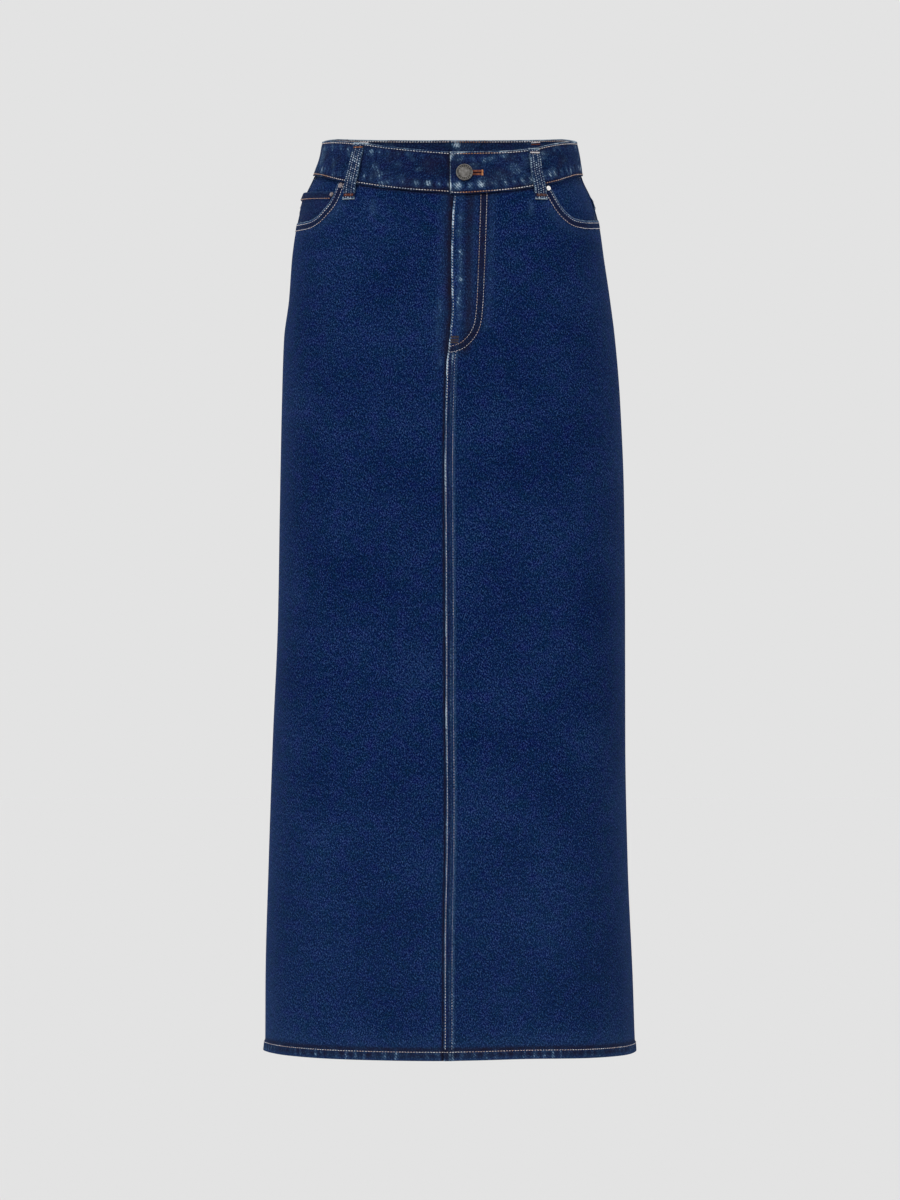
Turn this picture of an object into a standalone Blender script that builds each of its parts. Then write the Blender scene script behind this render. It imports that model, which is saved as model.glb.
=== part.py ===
"""A long five-pocket denim skirt, filled out as if worn, with nobody in it.

Metres, +Z up. The front faces -Y and the wearer's left is +X: left and right below are the wearer's.
The origin is the middle of the waist, half way down the waistband at the side seams.

Every piece is a wall of cloth. Its points come from one skin, skin(), which is the outside of the
panels: a smooth closed line round the body at each height, from the table SECTIONS. A place on the
skin is an angle round the body (0 at centre front, 90 at the left side, 180 at centre back, and
negative on the right) and a height. A wall is two grids of such places, each moved out or in from
the skin by its own depth.
"""

import math
from collections import namedtuple

import bmesh
import bpy
from mathutils import Vector

MM = 0.001

# Cloth and seams
GAP = 0.3 * MM  # between pieces that meet
DENIM = 1.2 * MM  # one layer of the body's denim
SIDE = 90.0  # the angle of a side seam
BACK = 180.0  # the angle of centre back
SQUARENESS = 0.035  # how much flatter the front and back are than an ellipse

# Lapped centre seams: the left piece lies on the right one
LAP_UNDER = 8.5 * MM  # how far the right piece runs in under the left one's edge
LAP_FLAT = 9.2 * MM  # the raised strip beside the left piece's edge
LAP_END = 13.0 * MM  # where the left piece has come down to the skin
LAP_LIFT = DENIM + GAP
BACK_LAP_EDGE = -4.5 * MM  # the lap's edge at centre back

# Hem
HEM_BOTTOM = -926.0 * MM
HEM_DEPTH = 10.0 * MM
HEM_STEP = 2.0 * MM  # height over which the folded hem thins to one layer
HEM_OUT = 0.8 * MM
HEM_IN = 2.0 * MM

# Waistband
BAND_OUT = 1.4 * MM  # its outside stands proud of the skin
BAND_IN = 1.6 * MM
BAND_ROUNDING = 0.5 * MM
FLAP_EDGE = 0.0  # x of the left half's end, which lies on top
FLAP_LIFT = 1.4 * MM
FLAP_RAMP = (40.0 * MM, 52.0 * MM)  # x over which the lifted flap comes down
UNDER_SINK = 1.9 * MM  # how far the right half's end dips to pass under the flap
UNDER_RAMP = (-1.0 * MM, -14.0 * MM)
UNDER_END = 38.0 * MM

# Button and buttonhole
BUTTON_X = 14.5 * MM
BUTTON_HEIGHT = -22.6 * MM
BUTTON_RADIUS = 8.5 * MM
BUTTON_THICKNESS = 3.6 * MM
SHANK_RADIUS = 1.6 * MM
EYE_HEIGHT = -22.0 * MM  # the buttonhole's: the button hangs a little below its middle
EYE_RADIUS = 2.5 * MM  # the buttonhole's round end
EYE_STEPS = 14
SLIT_HALF_WIDTH = 1.1 * MM
SLIT_END = 32.0 * MM

# Belt loops
LOOP_WIDTH = 12.3 * MM
LOOP_THICKNESS = 1.8 * MM
LOOP_TOP_INSET = 0.4 * MM

# Front pockets
FACING_OUT = -2.9 * MM
FACING_IN = FACING_OUT - DENIM
FACING_BOTTOM = -95.0 * MM
FACING_BEHIND_BAND = 6.0 * MM  # how far its top runs up behind the waistband
FACING_UNDER_FRONT = 7.0  # degrees that the facing runs in behind the front panel
FACING_COLUMNS = 13
SEAM_RISE = 1.3 * MM  # how far facing and coin pocket come out to be caught in the side seam
SEAM_RISE_ANGLES = (76.0, 88.0)
SEAM_RISE_BOTTOM = (-62.0 * MM, -55.0 * MM)
SEAM_RISE_TOP = (-1.0 * MM, -4.0 * MM)  # from the waistband's foot
COIN_OUT = -1.5 * MM
COIN_IN = -2.5 * MM
COIN_TOP = -34.6 * MM  # at the side seam
COIN_DROP = 4.0 * MM  # how far its top falls by its front edge
COIN_DROP_END = 50.0  # degrees: where it has fallen that far
COIN_BOTTOM = -84.0 * MM
UNDER_MOUTH_ROWS = (-69.0 * MM, -76.0 * MM)
COIN_HEM = 7.2 * MM
COIN_BULGE = 2.2 * MM  # how far the coin pocket's top hem stands out beside the side seam
COIN_FIRST = 2  # the facing's column where the coin pocket's inner edge lies
COIN_BULGE_ANGLES = (56.0, 80.0)

# Back yokes and back pockets
YOKE_DEPTH_SIDE = 34.0 * MM
YOKE_DEPTH_CENTRE = 72.0 * MM
YOKE_LIP = 1.0 * MM  # the felled yoke seam's extra thickness
YOKE_LIP_HEIGHT = 9.0 * MM
POCKET_FROM_CENTRE = 38.0 * MM  # measured round the skin, at the pocket's top
POCKET_TOP_WIDTH = 128.0 * MM
POCKET_FOOT_WIDTH = 106.0 * MM
POCKET_BELOW_YOKE = 22.0 * MM
POCKET_HEIGHT = 128.0 * MM
POCKET_POINT = 16.0 * MM
POCKET_TOP_LEVEL = -115.0 * MM  # about where the top lies: its widths are laid off there
POCKET_LIE = 0.45 * MM  # clearance over the panel's facets
POCKET_THICKNESS = 1.1 * MM
POCKET_STEPS = (10, 8)  # across and down
POCKET_HEM = 14.0 * MM
POCKET_HEM_OUT = 0.5 * MM

# The skin's outline in millimetres: half-widths from the middle, and depths to the front and back.
Section = namedtuple("Section", "height left right front back")
SECTIONS = (
    Section(-926.0, 192.1, 192.9, 128.5, 136.5),
    Section(-911.0, 191.2, 191.6, 128.2, 136.2),
    Section(-853.0, 189.3, 191.4, 127.0, 135.0),
    Section(-728.0, 184.1, 188.2, 124.0, 132.5),
    Section(-603.0, 182.0, 184.1, 121.0, 130.0),
    Section(-479.0, 182.0, 178.9, 118.0, 128.0),
    Section(-354.0, 181.0, 176.8, 115.0, 126.5),
    Section(-250.0, 176.8, 174.7, 112.5, 124.5),
    Section(-187.0, 171.6, 172.6, 110.5, 121.0),
    Section(-146.0, 166.4, 167.4, 108.5, 117.0),
    Section(-104.0, 160.2, 164.3, 105.5, 112.0),
    Section(-68.0, 155.0, 159.1, 102.5, 107.5),
    Section(-42.0, 147.7, 152.4, 99.5, 103.5),
    Section(-17.0, 136.9, 141.1, 96.0, 100.0),
    Section(3.0, 133.8, 134.2, 93.5, 97.5),
    Section(17.0, 131.2, 131.9, 92.0, 96.0),
    Section(32.0, 130.6, 131.4, 91.5, 95.5),
)

# The waistband's top edge and its depth, in millimetres, all round. It sits a little lower on the left,
# and lowest at the flap's end.
Band = namedtuple("Band", "angle top depth")
BAND = (
    Band(-180.0, 29.6, 42.0),
    Band(-150.0, 28.7, 41.0),
    Band(-122.0, 26.8, 39.0),
    Band(-104.0, 22.6, 37.0),
    Band(-90.0, 18.8, 35.6),
    Band(-78.0, 16.8, 35.6),
    Band(-64.0, 15.3, 37.0),
    Band(-53.0, 13.7, 39.5),
    Band(-45.0, 12.0, 41.2),
    Band(-35.0, 9.4, 42.3),
    Band(-26.0, 6.2, 42.6),
    Band(-13.0, 2.4, 43.2),
    Band(-1.0, -0.1, 42.9),
    Band(1.5, -0.5, 44.1),
    Band(12.0, 0.0, 43.0),
    Band(24.0, 1.5, 41.1),
    Band(36.0, 5.0, 39.5),
    Band(45.0, 9.0, 39.4),
    Band(54.0, 12.1, 38.1),
    Band(66.0, 14.6, 36.0),
    Band(78.0, 16.2, 35.4),
    Band(90.0, 18.8, 35.6),
    Band(104.0, 22.6, 37.0),
    Band(122.0, 26.8, 39.0),
    Band(150.0, 28.7, 41.0),
    Band(180.0, 29.6, 42.0),
)

# The front lap's edge in millimetres: it wanders a little down the fly and the centre seam.
Edge = namedtuple("Edge", "height x")
FRONT_LAP = (
    Edge(-926.0, -5.2),
    Edge(-600.0, -5.4),
    Edge(-320.0, -5.6),
    Edge(-218.0, -3.6),
    Edge(-201.0, -1.6),
    Edge(-183.0, 0.2),
    Edge(-160.0, 1.8),
    Edge(-115.0, 1.1),
    Edge(-72.0, 2.1),
    Edge(-36.0, 4.6),
)

# The curved front pocket mouths, from the waistband out to the side seam: degrees and millimetres.
Mouth = namedtuple("Mouth", "angle height")
MOUTH_LEFT = (
    Mouth(40.2, -31.5),
    Mouth(41.3, -39.2),
    Mouth(42.9, -48.4),
    Mouth(44.8, -56.4),
    Mouth(47.4, -62.2),
    Mouth(51.6, -66.7),
    Mouth(59.5, -67.9),
    Mouth(70.0, -66.6),
    Mouth(80.0, -65.0),
    Mouth(90.0, -63.0),
)
MOUTH_RIGHT = (
    Mouth(46.8, -27.5),
    Mouth(46.9, -39.7),
    Mouth(48.4, -49.8),
    Mouth(51.7, -57.8),
    Mouth(55.3, -64.0),
    Mouth(60.9, -67.6),
    Mouth(70.0, -68.3),
    Mouth(80.0, -67.6),
    Mouth(90.0, -66.5),
)

# The belt loops' middles in degrees, at their tops and feet, and how far in millimetres they run
# below the waistband.
Loop = namedtuple("Loop", "name top foot below")
LOOPS = (
    Loop("front_left", 35.5, 34.6, 13.4),
    Loop("front_right", -39.8, -38.1, 16.4),
    Loop("back_left", 140.0, 140.0, 12.0),
    Loop("back_right", -140.0, -140.0, 12.0),
    Loop("centre_back", 180.0, 180.0, 12.0),
)

# A belt loop's inner face in millimetres off the skin, from its top (0) to its foot (1).
Stand = namedtuple("Stand", "share out")
LOOP_STAND = (
    Stand(0.00, 1.8),
    Stand(0.07, 1.8),
    Stand(0.20, 3.7),
    Stand(0.40, 4.5),
    Stand(0.60, 4.3),
    Stand(0.74, 3.2),
    Stand(0.82, 2.1),
    Stand(0.90, 0.5),
    Stand(1.00, 0.4),
)

# Rivets: what they sit on is given by the depth of the cloth's outside from the skin.
Rivet = namedtuple("Rivet", "name angle height radius on")
RIVETS = (
    Rivet("rivet_pocket_left", 39.5, -36.6 * MM, 2.6 * MM, 0.0),
    Rivet("rivet_pocket_right", -44.5, -33.3 * MM, 2.7 * MM, 0.0),
    Rivet("rivet_coin_pocket", -48.9, -41.6 * MM, 2.3 * MM, COIN_OUT),
)
RIVET_HEIGHT = 1.3 * MM

# Grid spacing
LEVEL_ROWS = (-890, -830, -750, -660, -570, -480, -400, -330, -270, -220, -180, -145, -112, -85)
UPPER_SHARES = (0.5, 1.0)  # between the last level row and a panel's top edge
FRONT_ANGLES = (11.0, 17.0, 23.0, 29.0, 35.0, 40.5)
BESIDE_MOUTH = 4.0  # degrees left free of columns beside a pocket mouth's own
BACK_ANGLES = (97.0, 104.0, 111.0, 118.0, 125.0, 132.0, 139.0, 146.0, 153.0, 160.0, 167.0)
BAND_ANGLES = (30, 37, 44, 51, 58, 65, 72, 79, 86, 93, 100, 107, 114, 121, 129, 138, 148, 158, 169)
BAND_ROWS = (0.0, 0.06, 0.5, 0.94, 1.0)  # shares of the waistband's depth, from its foot
LOOP_ROWS = 15
SEAM_ANGLE = 0.08  # degrees left free beside a side seam: half of GAP


# --- curves read from the tables -----------------------------------------------------------------


def read(rows, at, column):
    """A table's column at a place in its first column, on a smooth curve that never overshoots."""
    place = [row[0] for row in rows]
    value = [getattr(row, column) for row in rows]
    if at <= place[0]:
        return value[0]
    if at >= place[-1]:
        return value[-1]
    slope = [
        (value[k + 1] - value[k]) / (place[k + 1] - place[k]) for k in range(len(rows) - 1)
    ]

    def tangent(k):
        if k == 0 or k == len(rows) - 1:
            return slope[min(k, len(slope) - 1)]
        before, after = slope[k - 1], slope[k]
        return 2 * before * after / (before + after) if before * after > 0 else 0.0

    k = next(n for n in range(len(rows) - 1) if at < place[n + 1])
    width = place[k + 1] - place[k]
    t = (at - place[k]) / width
    return (
        (1 + 2 * t) * (1 - t) ** 2 * value[k]
        + t * (1 - t) ** 2 * width * tangent(k)
        + t * t * (3 - 2 * t) * value[k + 1]
        + t * t * (t - 1) * width * tangent(k + 1)
    )


def ramp(value, start, end):
    """0 at start and 1 at end, smoothly."""
    t = min(1.0, max(0.0, (value - start) / (end - start)))
    return t * t * (3 - 2 * t)


def skin(angle, height, out=0.0):
    """A point at an angle in degrees and a height, moved out from the skin."""
    a = math.radians(angle)
    half = read(SECTIONS, height / MM, "left" if math.sin(a) >= 0 else "right")
    deep = read(SECTIONS, height / MM, "front" if math.cos(a) >= 0 else "back")
    k = SQUARENESS
    across = math.sin(a) + k * math.sin(3 * a)
    along = math.cos(a) - k * math.cos(3 * a)
    place = Vector((half * across, -deep * along)) * MM / (1 - k)
    tangent_x = half * (math.cos(a) + 3 * k * math.cos(3 * a))
    tangent_y = deep * (math.sin(a) - 3 * k * math.sin(3 * a))
    normal = Vector((tangent_y, -tangent_x)).normalized()
    place += normal * out
    return Vector((place.x, place.y, height))


def normal_at(angle, height):
    """The way out of the cloth, square to it both round the body and up it."""
    around = skin(angle + 0.5, height) - skin(angle - 0.5, height)
    up = skin(angle, height + MM) - skin(angle, height - MM)
    return around.cross(up).normalized()


def angle_at(x, height, back=False):
    """The angle whose point on the front, or on the back, is x metres from the middle."""
    low, high = -SIDE, SIDE
    for _ in range(40):
        middle = (low + high) / 2
        if skin(middle, height).x < x:
            low = middle
        else:
            high = middle
    return BACK - low if back else low


def angle_along(start, height, distance):
    """The angle at a distance round the skin from a starting angle: positive turns to the left."""
    step = 0.25 if distance >= 0 else -0.25
    angle, gone = start, 0.0
    while gone < abs(distance):
        gone += (skin(angle + step, height) - skin(angle, height)).length
        angle += step
    return angle


def band_top(angle):
    return read(BAND, angle, "top") * MM


def band_foot(angle):
    return band_top(angle) - read(BAND, angle, "depth") * MM


def yoke_foot(angle):
    """The yoke seam: a shallow V, deepest at centre back."""
    share = (min(abs(angle), BACK) - SIDE) / (BACK - SIDE)
    return band_foot(min(abs(angle), BACK)) - (
        YOKE_DEPTH_SIDE + (YOKE_DEPTH_CENTRE - YOKE_DEPTH_SIDE) * share
    )


def lap_edge(height):
    return read(FRONT_LAP, height / MM, "x") * MM


def coin_top(angle):
    """The coin pocket's top edge, which falls from the side seam to the front."""
    share = (SIDE - abs(angle)) / (SIDE - COIN_DROP_END)
    return COIN_TOP - COIN_DROP * share


def mouth_points(rows):
    """Places along a pocket mouth, two to each span of its table."""
    points = []
    last = len(rows) - 1
    for k in range(last):
        before, start, end, after = (rows[min(max(n, 0), last)] for n in range(k - 1, k + 3))
        for t in (0.0, 0.5):
            points.append(
                tuple(
                    0.5
                    * (
                        2 * b
                        + (c - a) * t
                        + (2 * a - 5 * b + 4 * c - d) * t * t
                        + (3 * b - a - 3 * c + d) * t**3
                    )
                    for a, b, c, d in zip(before, start, end, after)
                )
            )
    points.append(tuple(rows[-1]))
    return [(angle, height * MM) for angle, height in points]


# --- making objects ------------------------------------------------------------------------------


def clear_scene():
    for old in list(bpy.data.objects):
        bpy.data.objects.remove(old)


def finish(name, colour, roughness, metallic=0.0):
    """A plain material of one colour."""
    material = bpy.data.materials.new(name)
    material.use_nodes = True
    shader = material.node_tree.nodes["Principled BSDF"]
    shader.inputs["Base Color"].default_value = (*colour, 1.0)
    shader.inputs["Roughness"].default_value = roughness
    shader.inputs["Metallic"].default_value = metallic
    return material


def add_object(name, mesh, material):
    """The finished bmesh as an object, smooth but for its true edges."""
    bmesh.ops.recalc_face_normals(mesh, faces=mesh.faces)
    data = bpy.data.meshes.new(name)
    mesh.to_mesh(data)
    mesh.free()
    data.shade_smooth()
    data.set_sharp_from_angle(angle=math.radians(40))
    data.materials.append(material)
    made = bpy.data.objects.new(name, data)
    made.parent = SKIRT
    bpy.context.scene.collection.objects.link(made)
    return made


def wall(name, columns, outside, inside, material):
    """A closed wall. columns holds a list of (angle, height) places for each column, top to bottom or
    bottom to top, and outside and inside give the depth of each face from the skin at a place."""
    mesh = bmesh.new()
    faces = [
        [[mesh.verts.new(skin(a, z, depth(a, z))) for a, z in column] for column in columns]
        for depth in (outside, inside)
    ]
    last_column, last_row = len(columns) - 1, len(columns[0]) - 1
    for side in faces:
        for c in range(last_column):
            for r in range(last_row):
                mesh.faces.new((side[c][r], side[c + 1][r], side[c + 1][r + 1], side[c][r + 1]))
    border = (
        [(c, 0) for c in range(last_column)]
        + [(last_column, r) for r in range(last_row)]
        + [(c, last_row) for c in range(last_column, 0, -1)]
        + [(0, r) for r in range(last_row, 0, -1)]
    )
    outer, inner = faces
    for (c, r), (next_c, next_r) in zip(border, border[1:] + border[:1]):
        mesh.faces.new((outer[c][r], inner[c][r], inner[next_c][next_r], outer[next_c][next_r]))
    return add_object(name, mesh, material)


def turned(name, profile, segments, material):
    """A solid of revolution about Z from (radius, height) points, the first and last on the axis."""
    mesh = bmesh.new()
    line = [mesh.verts.new((radius, 0.0, height)) for radius, height in profile]
    edges = [mesh.edges.new(pair) for pair in zip(line, line[1:])]
    bmesh.ops.spin(
        mesh,
        geom=line + edges,
        cent=(0, 0, 0),
        axis=(0, 0, 1),
        angle=math.tau,
        steps=segments,
        use_merge=True,
    )
    bmesh.ops.remove_doubles(mesh, verts=mesh.verts, dist=0.01 * MM)
    bmesh.ops.dissolve_degenerate(mesh, dist=0.01 * MM, edges=mesh.edges)
    return add_object(name, mesh, material)


def stand_on_skin(made, angle, height, out):
    """Puts an object's base on the cloth, with its Z pointing away from the body."""
    made.location = skin(angle, height) + normal_at(angle, height) * out
    made.rotation_mode = "QUATERNION"
    made.rotation_quaternion = normal_at(angle, height).to_track_quat("Z", "Y")


# --- depths of the cloth from the skin -----------------------------------------------------------


def hem_share(height):
    """1 in the folded hem, and 0 above it."""
    return 1 - ramp(height, HEM_BOTTOM + HEM_DEPTH, HEM_BOTTOM + HEM_DEPTH + HEM_STEP)


def lap_lift(angle, height):
    """How far a left piece is lifted beside its lapped edge at centre front or centre back."""
    at_back = abs(angle) > SIDE
    edge = BACK_LAP_EDGE if at_back else lap_edge(height)
    distance = skin(angle, height).x - edge
    return LAP_LIFT * (1 - ramp(distance, LAP_FLAT, LAP_END))


def left_outside(angle, height):
    return lap_lift(angle, height) + HEM_OUT * hem_share(height)


def left_inside(angle, height):
    return lap_lift(angle, height) - DENIM - (HEM_IN - DENIM) * hem_share(height) * (
        1 - lap_lift(angle, height) / LAP_LIFT
    )


def right_outside(angle, height):
    return HEM_OUT * hem_share(height) * (1 - under_lap(angle, height))


def right_inside(angle, height):
    return -DENIM - (HEM_IN - DENIM) * hem_share(height)


def under_lap(angle, height):
    """1 where a right piece lies under a left one, and 0 clear of it."""
    at_back = abs(angle) > SIDE
    edge = BACK_LAP_EDGE if at_back else lap_edge(height)
    return 1 - ramp(edge - skin(angle, height).x, GAP, 4 * GAP)


def yoke_lip(angle, height):
    """The extra thickness along the yoke's foot."""
    foot = yoke_foot(angle)
    return YOKE_LIP * (1 - ramp(height, foot + YOKE_LIP_HEIGHT, foot + 1.4 * YOKE_LIP_HEIGHT))


def band_rounding(angle, height):
    """The waistband's outside draws in at its two folded edges."""
    share = (height - band_foot(angle)) / (band_top(angle) - band_foot(angle))
    return BAND_ROUNDING * (abs(2 * share - 1) ** 8)


def flap_lift(angle, height):
    return FLAP_LIFT * (1 - ramp(skin(angle, height).x, *FLAP_RAMP)) * (abs(angle) < SIDE)


def under_sink(angle, height):
    x = skin(angle, height).x
    return UNDER_SINK * (1 - ramp(-x, -UNDER_RAMP[0], -UNDER_RAMP[1])) * (abs(angle) < SIDE)


# --- the pieces ----------------------------------------------------------------------------------


def panel_heights(top):
    """A body panel's rows in one column, from the hem up to its own top edge."""
    hem_line = HEM_BOTTOM + HEM_DEPTH
    level = [row * MM for row in LEVEL_ROWS]
    upper = [level[-1] + share * (top - level[-1]) for share in UPPER_SHARES]
    return [HEM_BOTTOM, hem_line, hem_line + HEM_STEP, *level, *upper]


def front_column(top, place):
    """One column: place is an angle, or a function that gives the angle at a height."""
    at = place if callable(place) else (lambda height: place)
    return [(at(height), height) for height in panel_heights(top)]


def front_panel(name, side, mouth, edge_steps, outside, inside, material):
    """A front panel. side is 1 for the left and -1 for the right, and edge_steps are the distances of
    its first columns from the lap's edge."""
    columns = []
    for step in edge_steps:
        place = lambda height, step=step: angle_at(lap_edge(height) + step, height)
        columns.append(front_column(band_foot(place(band_foot(0))) - GAP, place))
    for angle in FRONT_ANGLES:
        if angle < mouth[0].angle - BESIDE_MOUTH:
            columns.append(front_column(band_foot(side * angle) - GAP, side * angle))
    for angle, height in mouth_points(mouth):
        angle = min(angle, SIDE - SEAM_ANGLE)
        top = min(height, band_foot(side * angle) - GAP)
        columns.append(front_column(top, side * angle))
    return wall(name, columns, outside, inside, material)


def back_angles(side, edge_steps, start=SIDE + SEAM_ANGLE):
    """The columns of a back piece from the side seam to centre back, each a function of the height."""
    angles = [lambda height, a=side * angle: a for angle in (start, *BACK_ANGLES)]
    for step in edge_steps:
        angles.append(lambda height, s=step: centre_back_angle(side, s, height))
    return angles


def centre_back_angle(side, step, height):
    """The angle at a distance from the back lap's edge, counted on from this side of the body."""
    angle = angle_at(BACK_LAP_EDGE + step, height, back=True)
    return angle if side > 0 else angle - 2 * BACK


def back_panel(name, side, edge_steps, outside, inside, material):
    columns = []
    for place in back_angles(side, edge_steps):
        top = yoke_foot(place(LEVEL_ROWS[-1] * MM)) - GAP
        columns.append([(place(height), height) for height in back_heights(top)])
    return wall(name, columns, outside, inside, material)


def back_heights(top):
    """A back panel's rows: its top edge is the yoke seam, which falls below the last level row."""
    hem_line = HEM_BOTTOM + HEM_DEPTH
    level = [row * MM for row in LEVEL_ROWS[:-1]]
    upper = [level[-1] + share * (top - level[-1]) for share in UPPER_SHARES]
    return [HEM_BOTTOM, hem_line, hem_line + HEM_STEP, *level, *upper]


def yoke(name, side, edge_steps, outside, inside, material):
    columns = []
    for place in back_angles(side, edge_steps):
        angle = place(LEVEL_ROWS[-1] * MM)
        foot, top = yoke_foot(angle), band_foot(angle) - GAP
        lip_top = foot + YOKE_LIP_HEIGHT
        lip_end = foot + 1.4 * YOKE_LIP_HEIGHT
        rows = [foot, lip_top, *(lip_end + (top - lip_end) * share / 4 for share in range(5))]
        columns.append([(place(height), height) for height in rows])
    covered = under_lap if side < 0 else lambda a, z: 0.0
    return wall(
        name,
        columns,
        lambda a, z: outside(a, z) + yoke_lip(a, z) * (1 - covered(a, z)),
        inside,
        material,
    )


def band_half(name, side, places, outside, inside, material):
    """Half the waistband. places are its columns near centre front, as distances x from the middle."""
    columns = []
    for x in places:
        angle = angle_at(x, band_top(0) - BAND_ROUNDING)
        foot, top = band_foot(angle), band_top(angle)
        heights = [foot + share * (top - foot) for share in BAND_ROWS]
        columns.append([(angle_at(x, height), height) for height in heights])
    for angle in (*BAND_ANGLES, BACK - SEAM_ANGLE):
        foot, top = band_foot(side * angle), band_top(side * angle)
        columns.append([(side * angle, foot + share * (top - foot)) for share in BAND_ROWS])
    return wall(name, columns, outside, inside, material)


def facing_angles(mouth):
    start, end = mouth[0].angle - FACING_UNDER_FRONT, SIDE - SEAM_ANGLE
    last = FACING_COLUMNS - 1
    return [start + (end - start) * step / last for step in range(FACING_COLUMNS)]


def facing(name, side, mouth, material):
    """The denim behind a front pocket's mouth, from the waistband to below the mouth."""
    columns = []
    for angle in facing_angles(mouth):
        foot = band_foot(side * angle)
        low, high = SEAM_RISE_BOTTOM
        even = [low + (foot + SEAM_RISE_TOP[1] - low) * share / 4 for share in (2, 3, 4)]
        rows = [FACING_BOTTOM, UNDER_MOUTH_ROWS[1], low, high, *even, foot + SEAM_RISE_TOP[0]]
        rows.append(foot + FACING_BEHIND_BAND)
        columns.append([(side * angle, height) for height in rows])
    return wall(
        name,
        columns,
        lambda a, z: FACING_OUT + seam_rise(a, z),
        lambda a, z: FACING_IN + seam_rise(a, z),
        material,
    )


def seam_rise(angle, height):
    """Behind a pocket mouth, the layers come out to the side seam that catches them."""
    beside_seam = ramp(abs(angle), *SEAM_RISE_ANGLES)
    foot = band_foot(angle)
    below_band = ramp(height, foot + SEAM_RISE_TOP[0], foot + SEAM_RISE_TOP[1])
    return SEAM_RISE * beside_seam * ramp(height, *SEAM_RISE_BOTTOM) * below_band


def coin_bulge(angle, height):
    """The coin pocket's folded top stands away from the facing towards the side seam."""
    beside_seam = ramp(abs(angle), *COIN_BULGE_ANGLES)
    in_hem = ramp(height, coin_top(angle) - 2 * COIN_HEM, coin_top(angle) - COIN_HEM)
    return COIN_BULGE * beside_seam * in_hem


def coin_pocket(material):
    """The small pocket inside the right front pocket: its outer edge is caught in the side seam."""
    columns = []
    for angle in facing_angles(MOUTH_RIGHT)[COIN_FIRST:]:
        rows = [coin_top(angle) - share * COIN_HEM for share in (0.0, 1.0, 1.5, 2.0)]
        rows += [*SEAM_RISE_BOTTOM[::-1], *UNDER_MOUTH_ROWS, COIN_BOTTOM]
        columns.append([(-angle, height) for height in rows])
    return wall(
        "coin_pocket",
        columns,
        lambda a, z: COIN_OUT + seam_rise(a, z) + coin_bulge(a, z),
        lambda a, z: COIN_IN + seam_rise(a, z),
        material,
    )


def back_pocket(name, side, material):
    """A patch pocket with a pointed foot, on the back panel and square to the yoke seam."""
    across_steps, down_steps = POCKET_STEPS
    middle_distance = POCKET_FROM_CENTRE + POCKET_TOP_WIDTH / 2
    columns = []
    for i in range(across_steps + 1):
        across = i / across_steps - 0.5
        column = []
        for j in range(down_steps + 1):
            down = pocket_row(j, down_steps)
            width = POCKET_TOP_WIDTH + (POCKET_FOOT_WIDTH - POCKET_TOP_WIDTH) * down
            top_across = across * POCKET_TOP_WIDTH
            top_angle = pocket_angle(side, middle_distance, top_across, POCKET_TOP_LEVEL)
            top = yoke_foot(top_angle) - POCKET_BELOW_YOKE
            point = POCKET_POINT * (1 - abs(2 * across))
            height = top - down * (POCKET_HEIGHT + point)
            column.append((pocket_angle(side, middle_distance, across * width, height), height))
        columns.append(column)
    hem = POCKET_HEM / POCKET_HEIGHT
    return wall(
        name,
        columns,
        lambda a, z: pocket_outside(a, z, hem),
        lambda a, z: POCKET_LIE,
        material,
    )


def pocket_row(step, steps):
    """Rows down the pocket: two close ones mark the hem's step, and the rest are even."""
    hem = POCKET_HEM / POCKET_HEIGHT
    marks = [0.0, hem, 1.12 * hem]
    rest = steps + 1 - len(marks)
    if step < len(marks):
        return marks[step]
    return marks[-1] + (1 - marks[-1]) * (step - len(marks) + 1) / rest


def pocket_angle(side, middle, across, height):
    """The angle at a distance round the skin from centre back, on one side of the body."""
    return side * angle_along(BACK, height, -(middle + across))


def pocket_outside(angle, height, hem):
    top = yoke_foot(angle) - POCKET_BELOW_YOKE
    in_hem = 1 - ramp(top - height, hem * POCKET_HEIGHT, 1.12 * hem * POCKET_HEIGHT)
    return POCKET_LIE + POCKET_THICKNESS + POCKET_HEM_OUT * in_hem


def belt_loop(spec, material):
    """A folded strip held at its top and foot, standing off the waistband between them."""
    top, foot = band_top(spec.top) - LOOP_TOP_INSET, band_foot(spec.foot) - spec.below * MM
    rows = [row / (LOOP_ROWS - 1) for row in range(LOOP_ROWS)]
    middles = [(spec.top + (spec.foot - spec.top) * row, top + (foot - top) * row) for row in rows]
    columns = []
    for share in (-0.5, 0.0, 0.5):
        across = share * LOOP_WIDTH
        columns.append([(angle_along(a, z, across) if across else a, z) for a, z in middles])

    lift = LAP_LIFT if abs(spec.top) == BACK else 0.0

    def stand(a, z):
        share = (top - z) / (top - foot)
        return read(LOOP_STAND, share, "out") * MM + lift * ramp(share, 0.7, 0.85)

    name = "belt_loop_" + spec.name
    return wall(name, columns, lambda a, z: stand(a, z) + LOOP_THICKNESS, stand, material)


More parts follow.
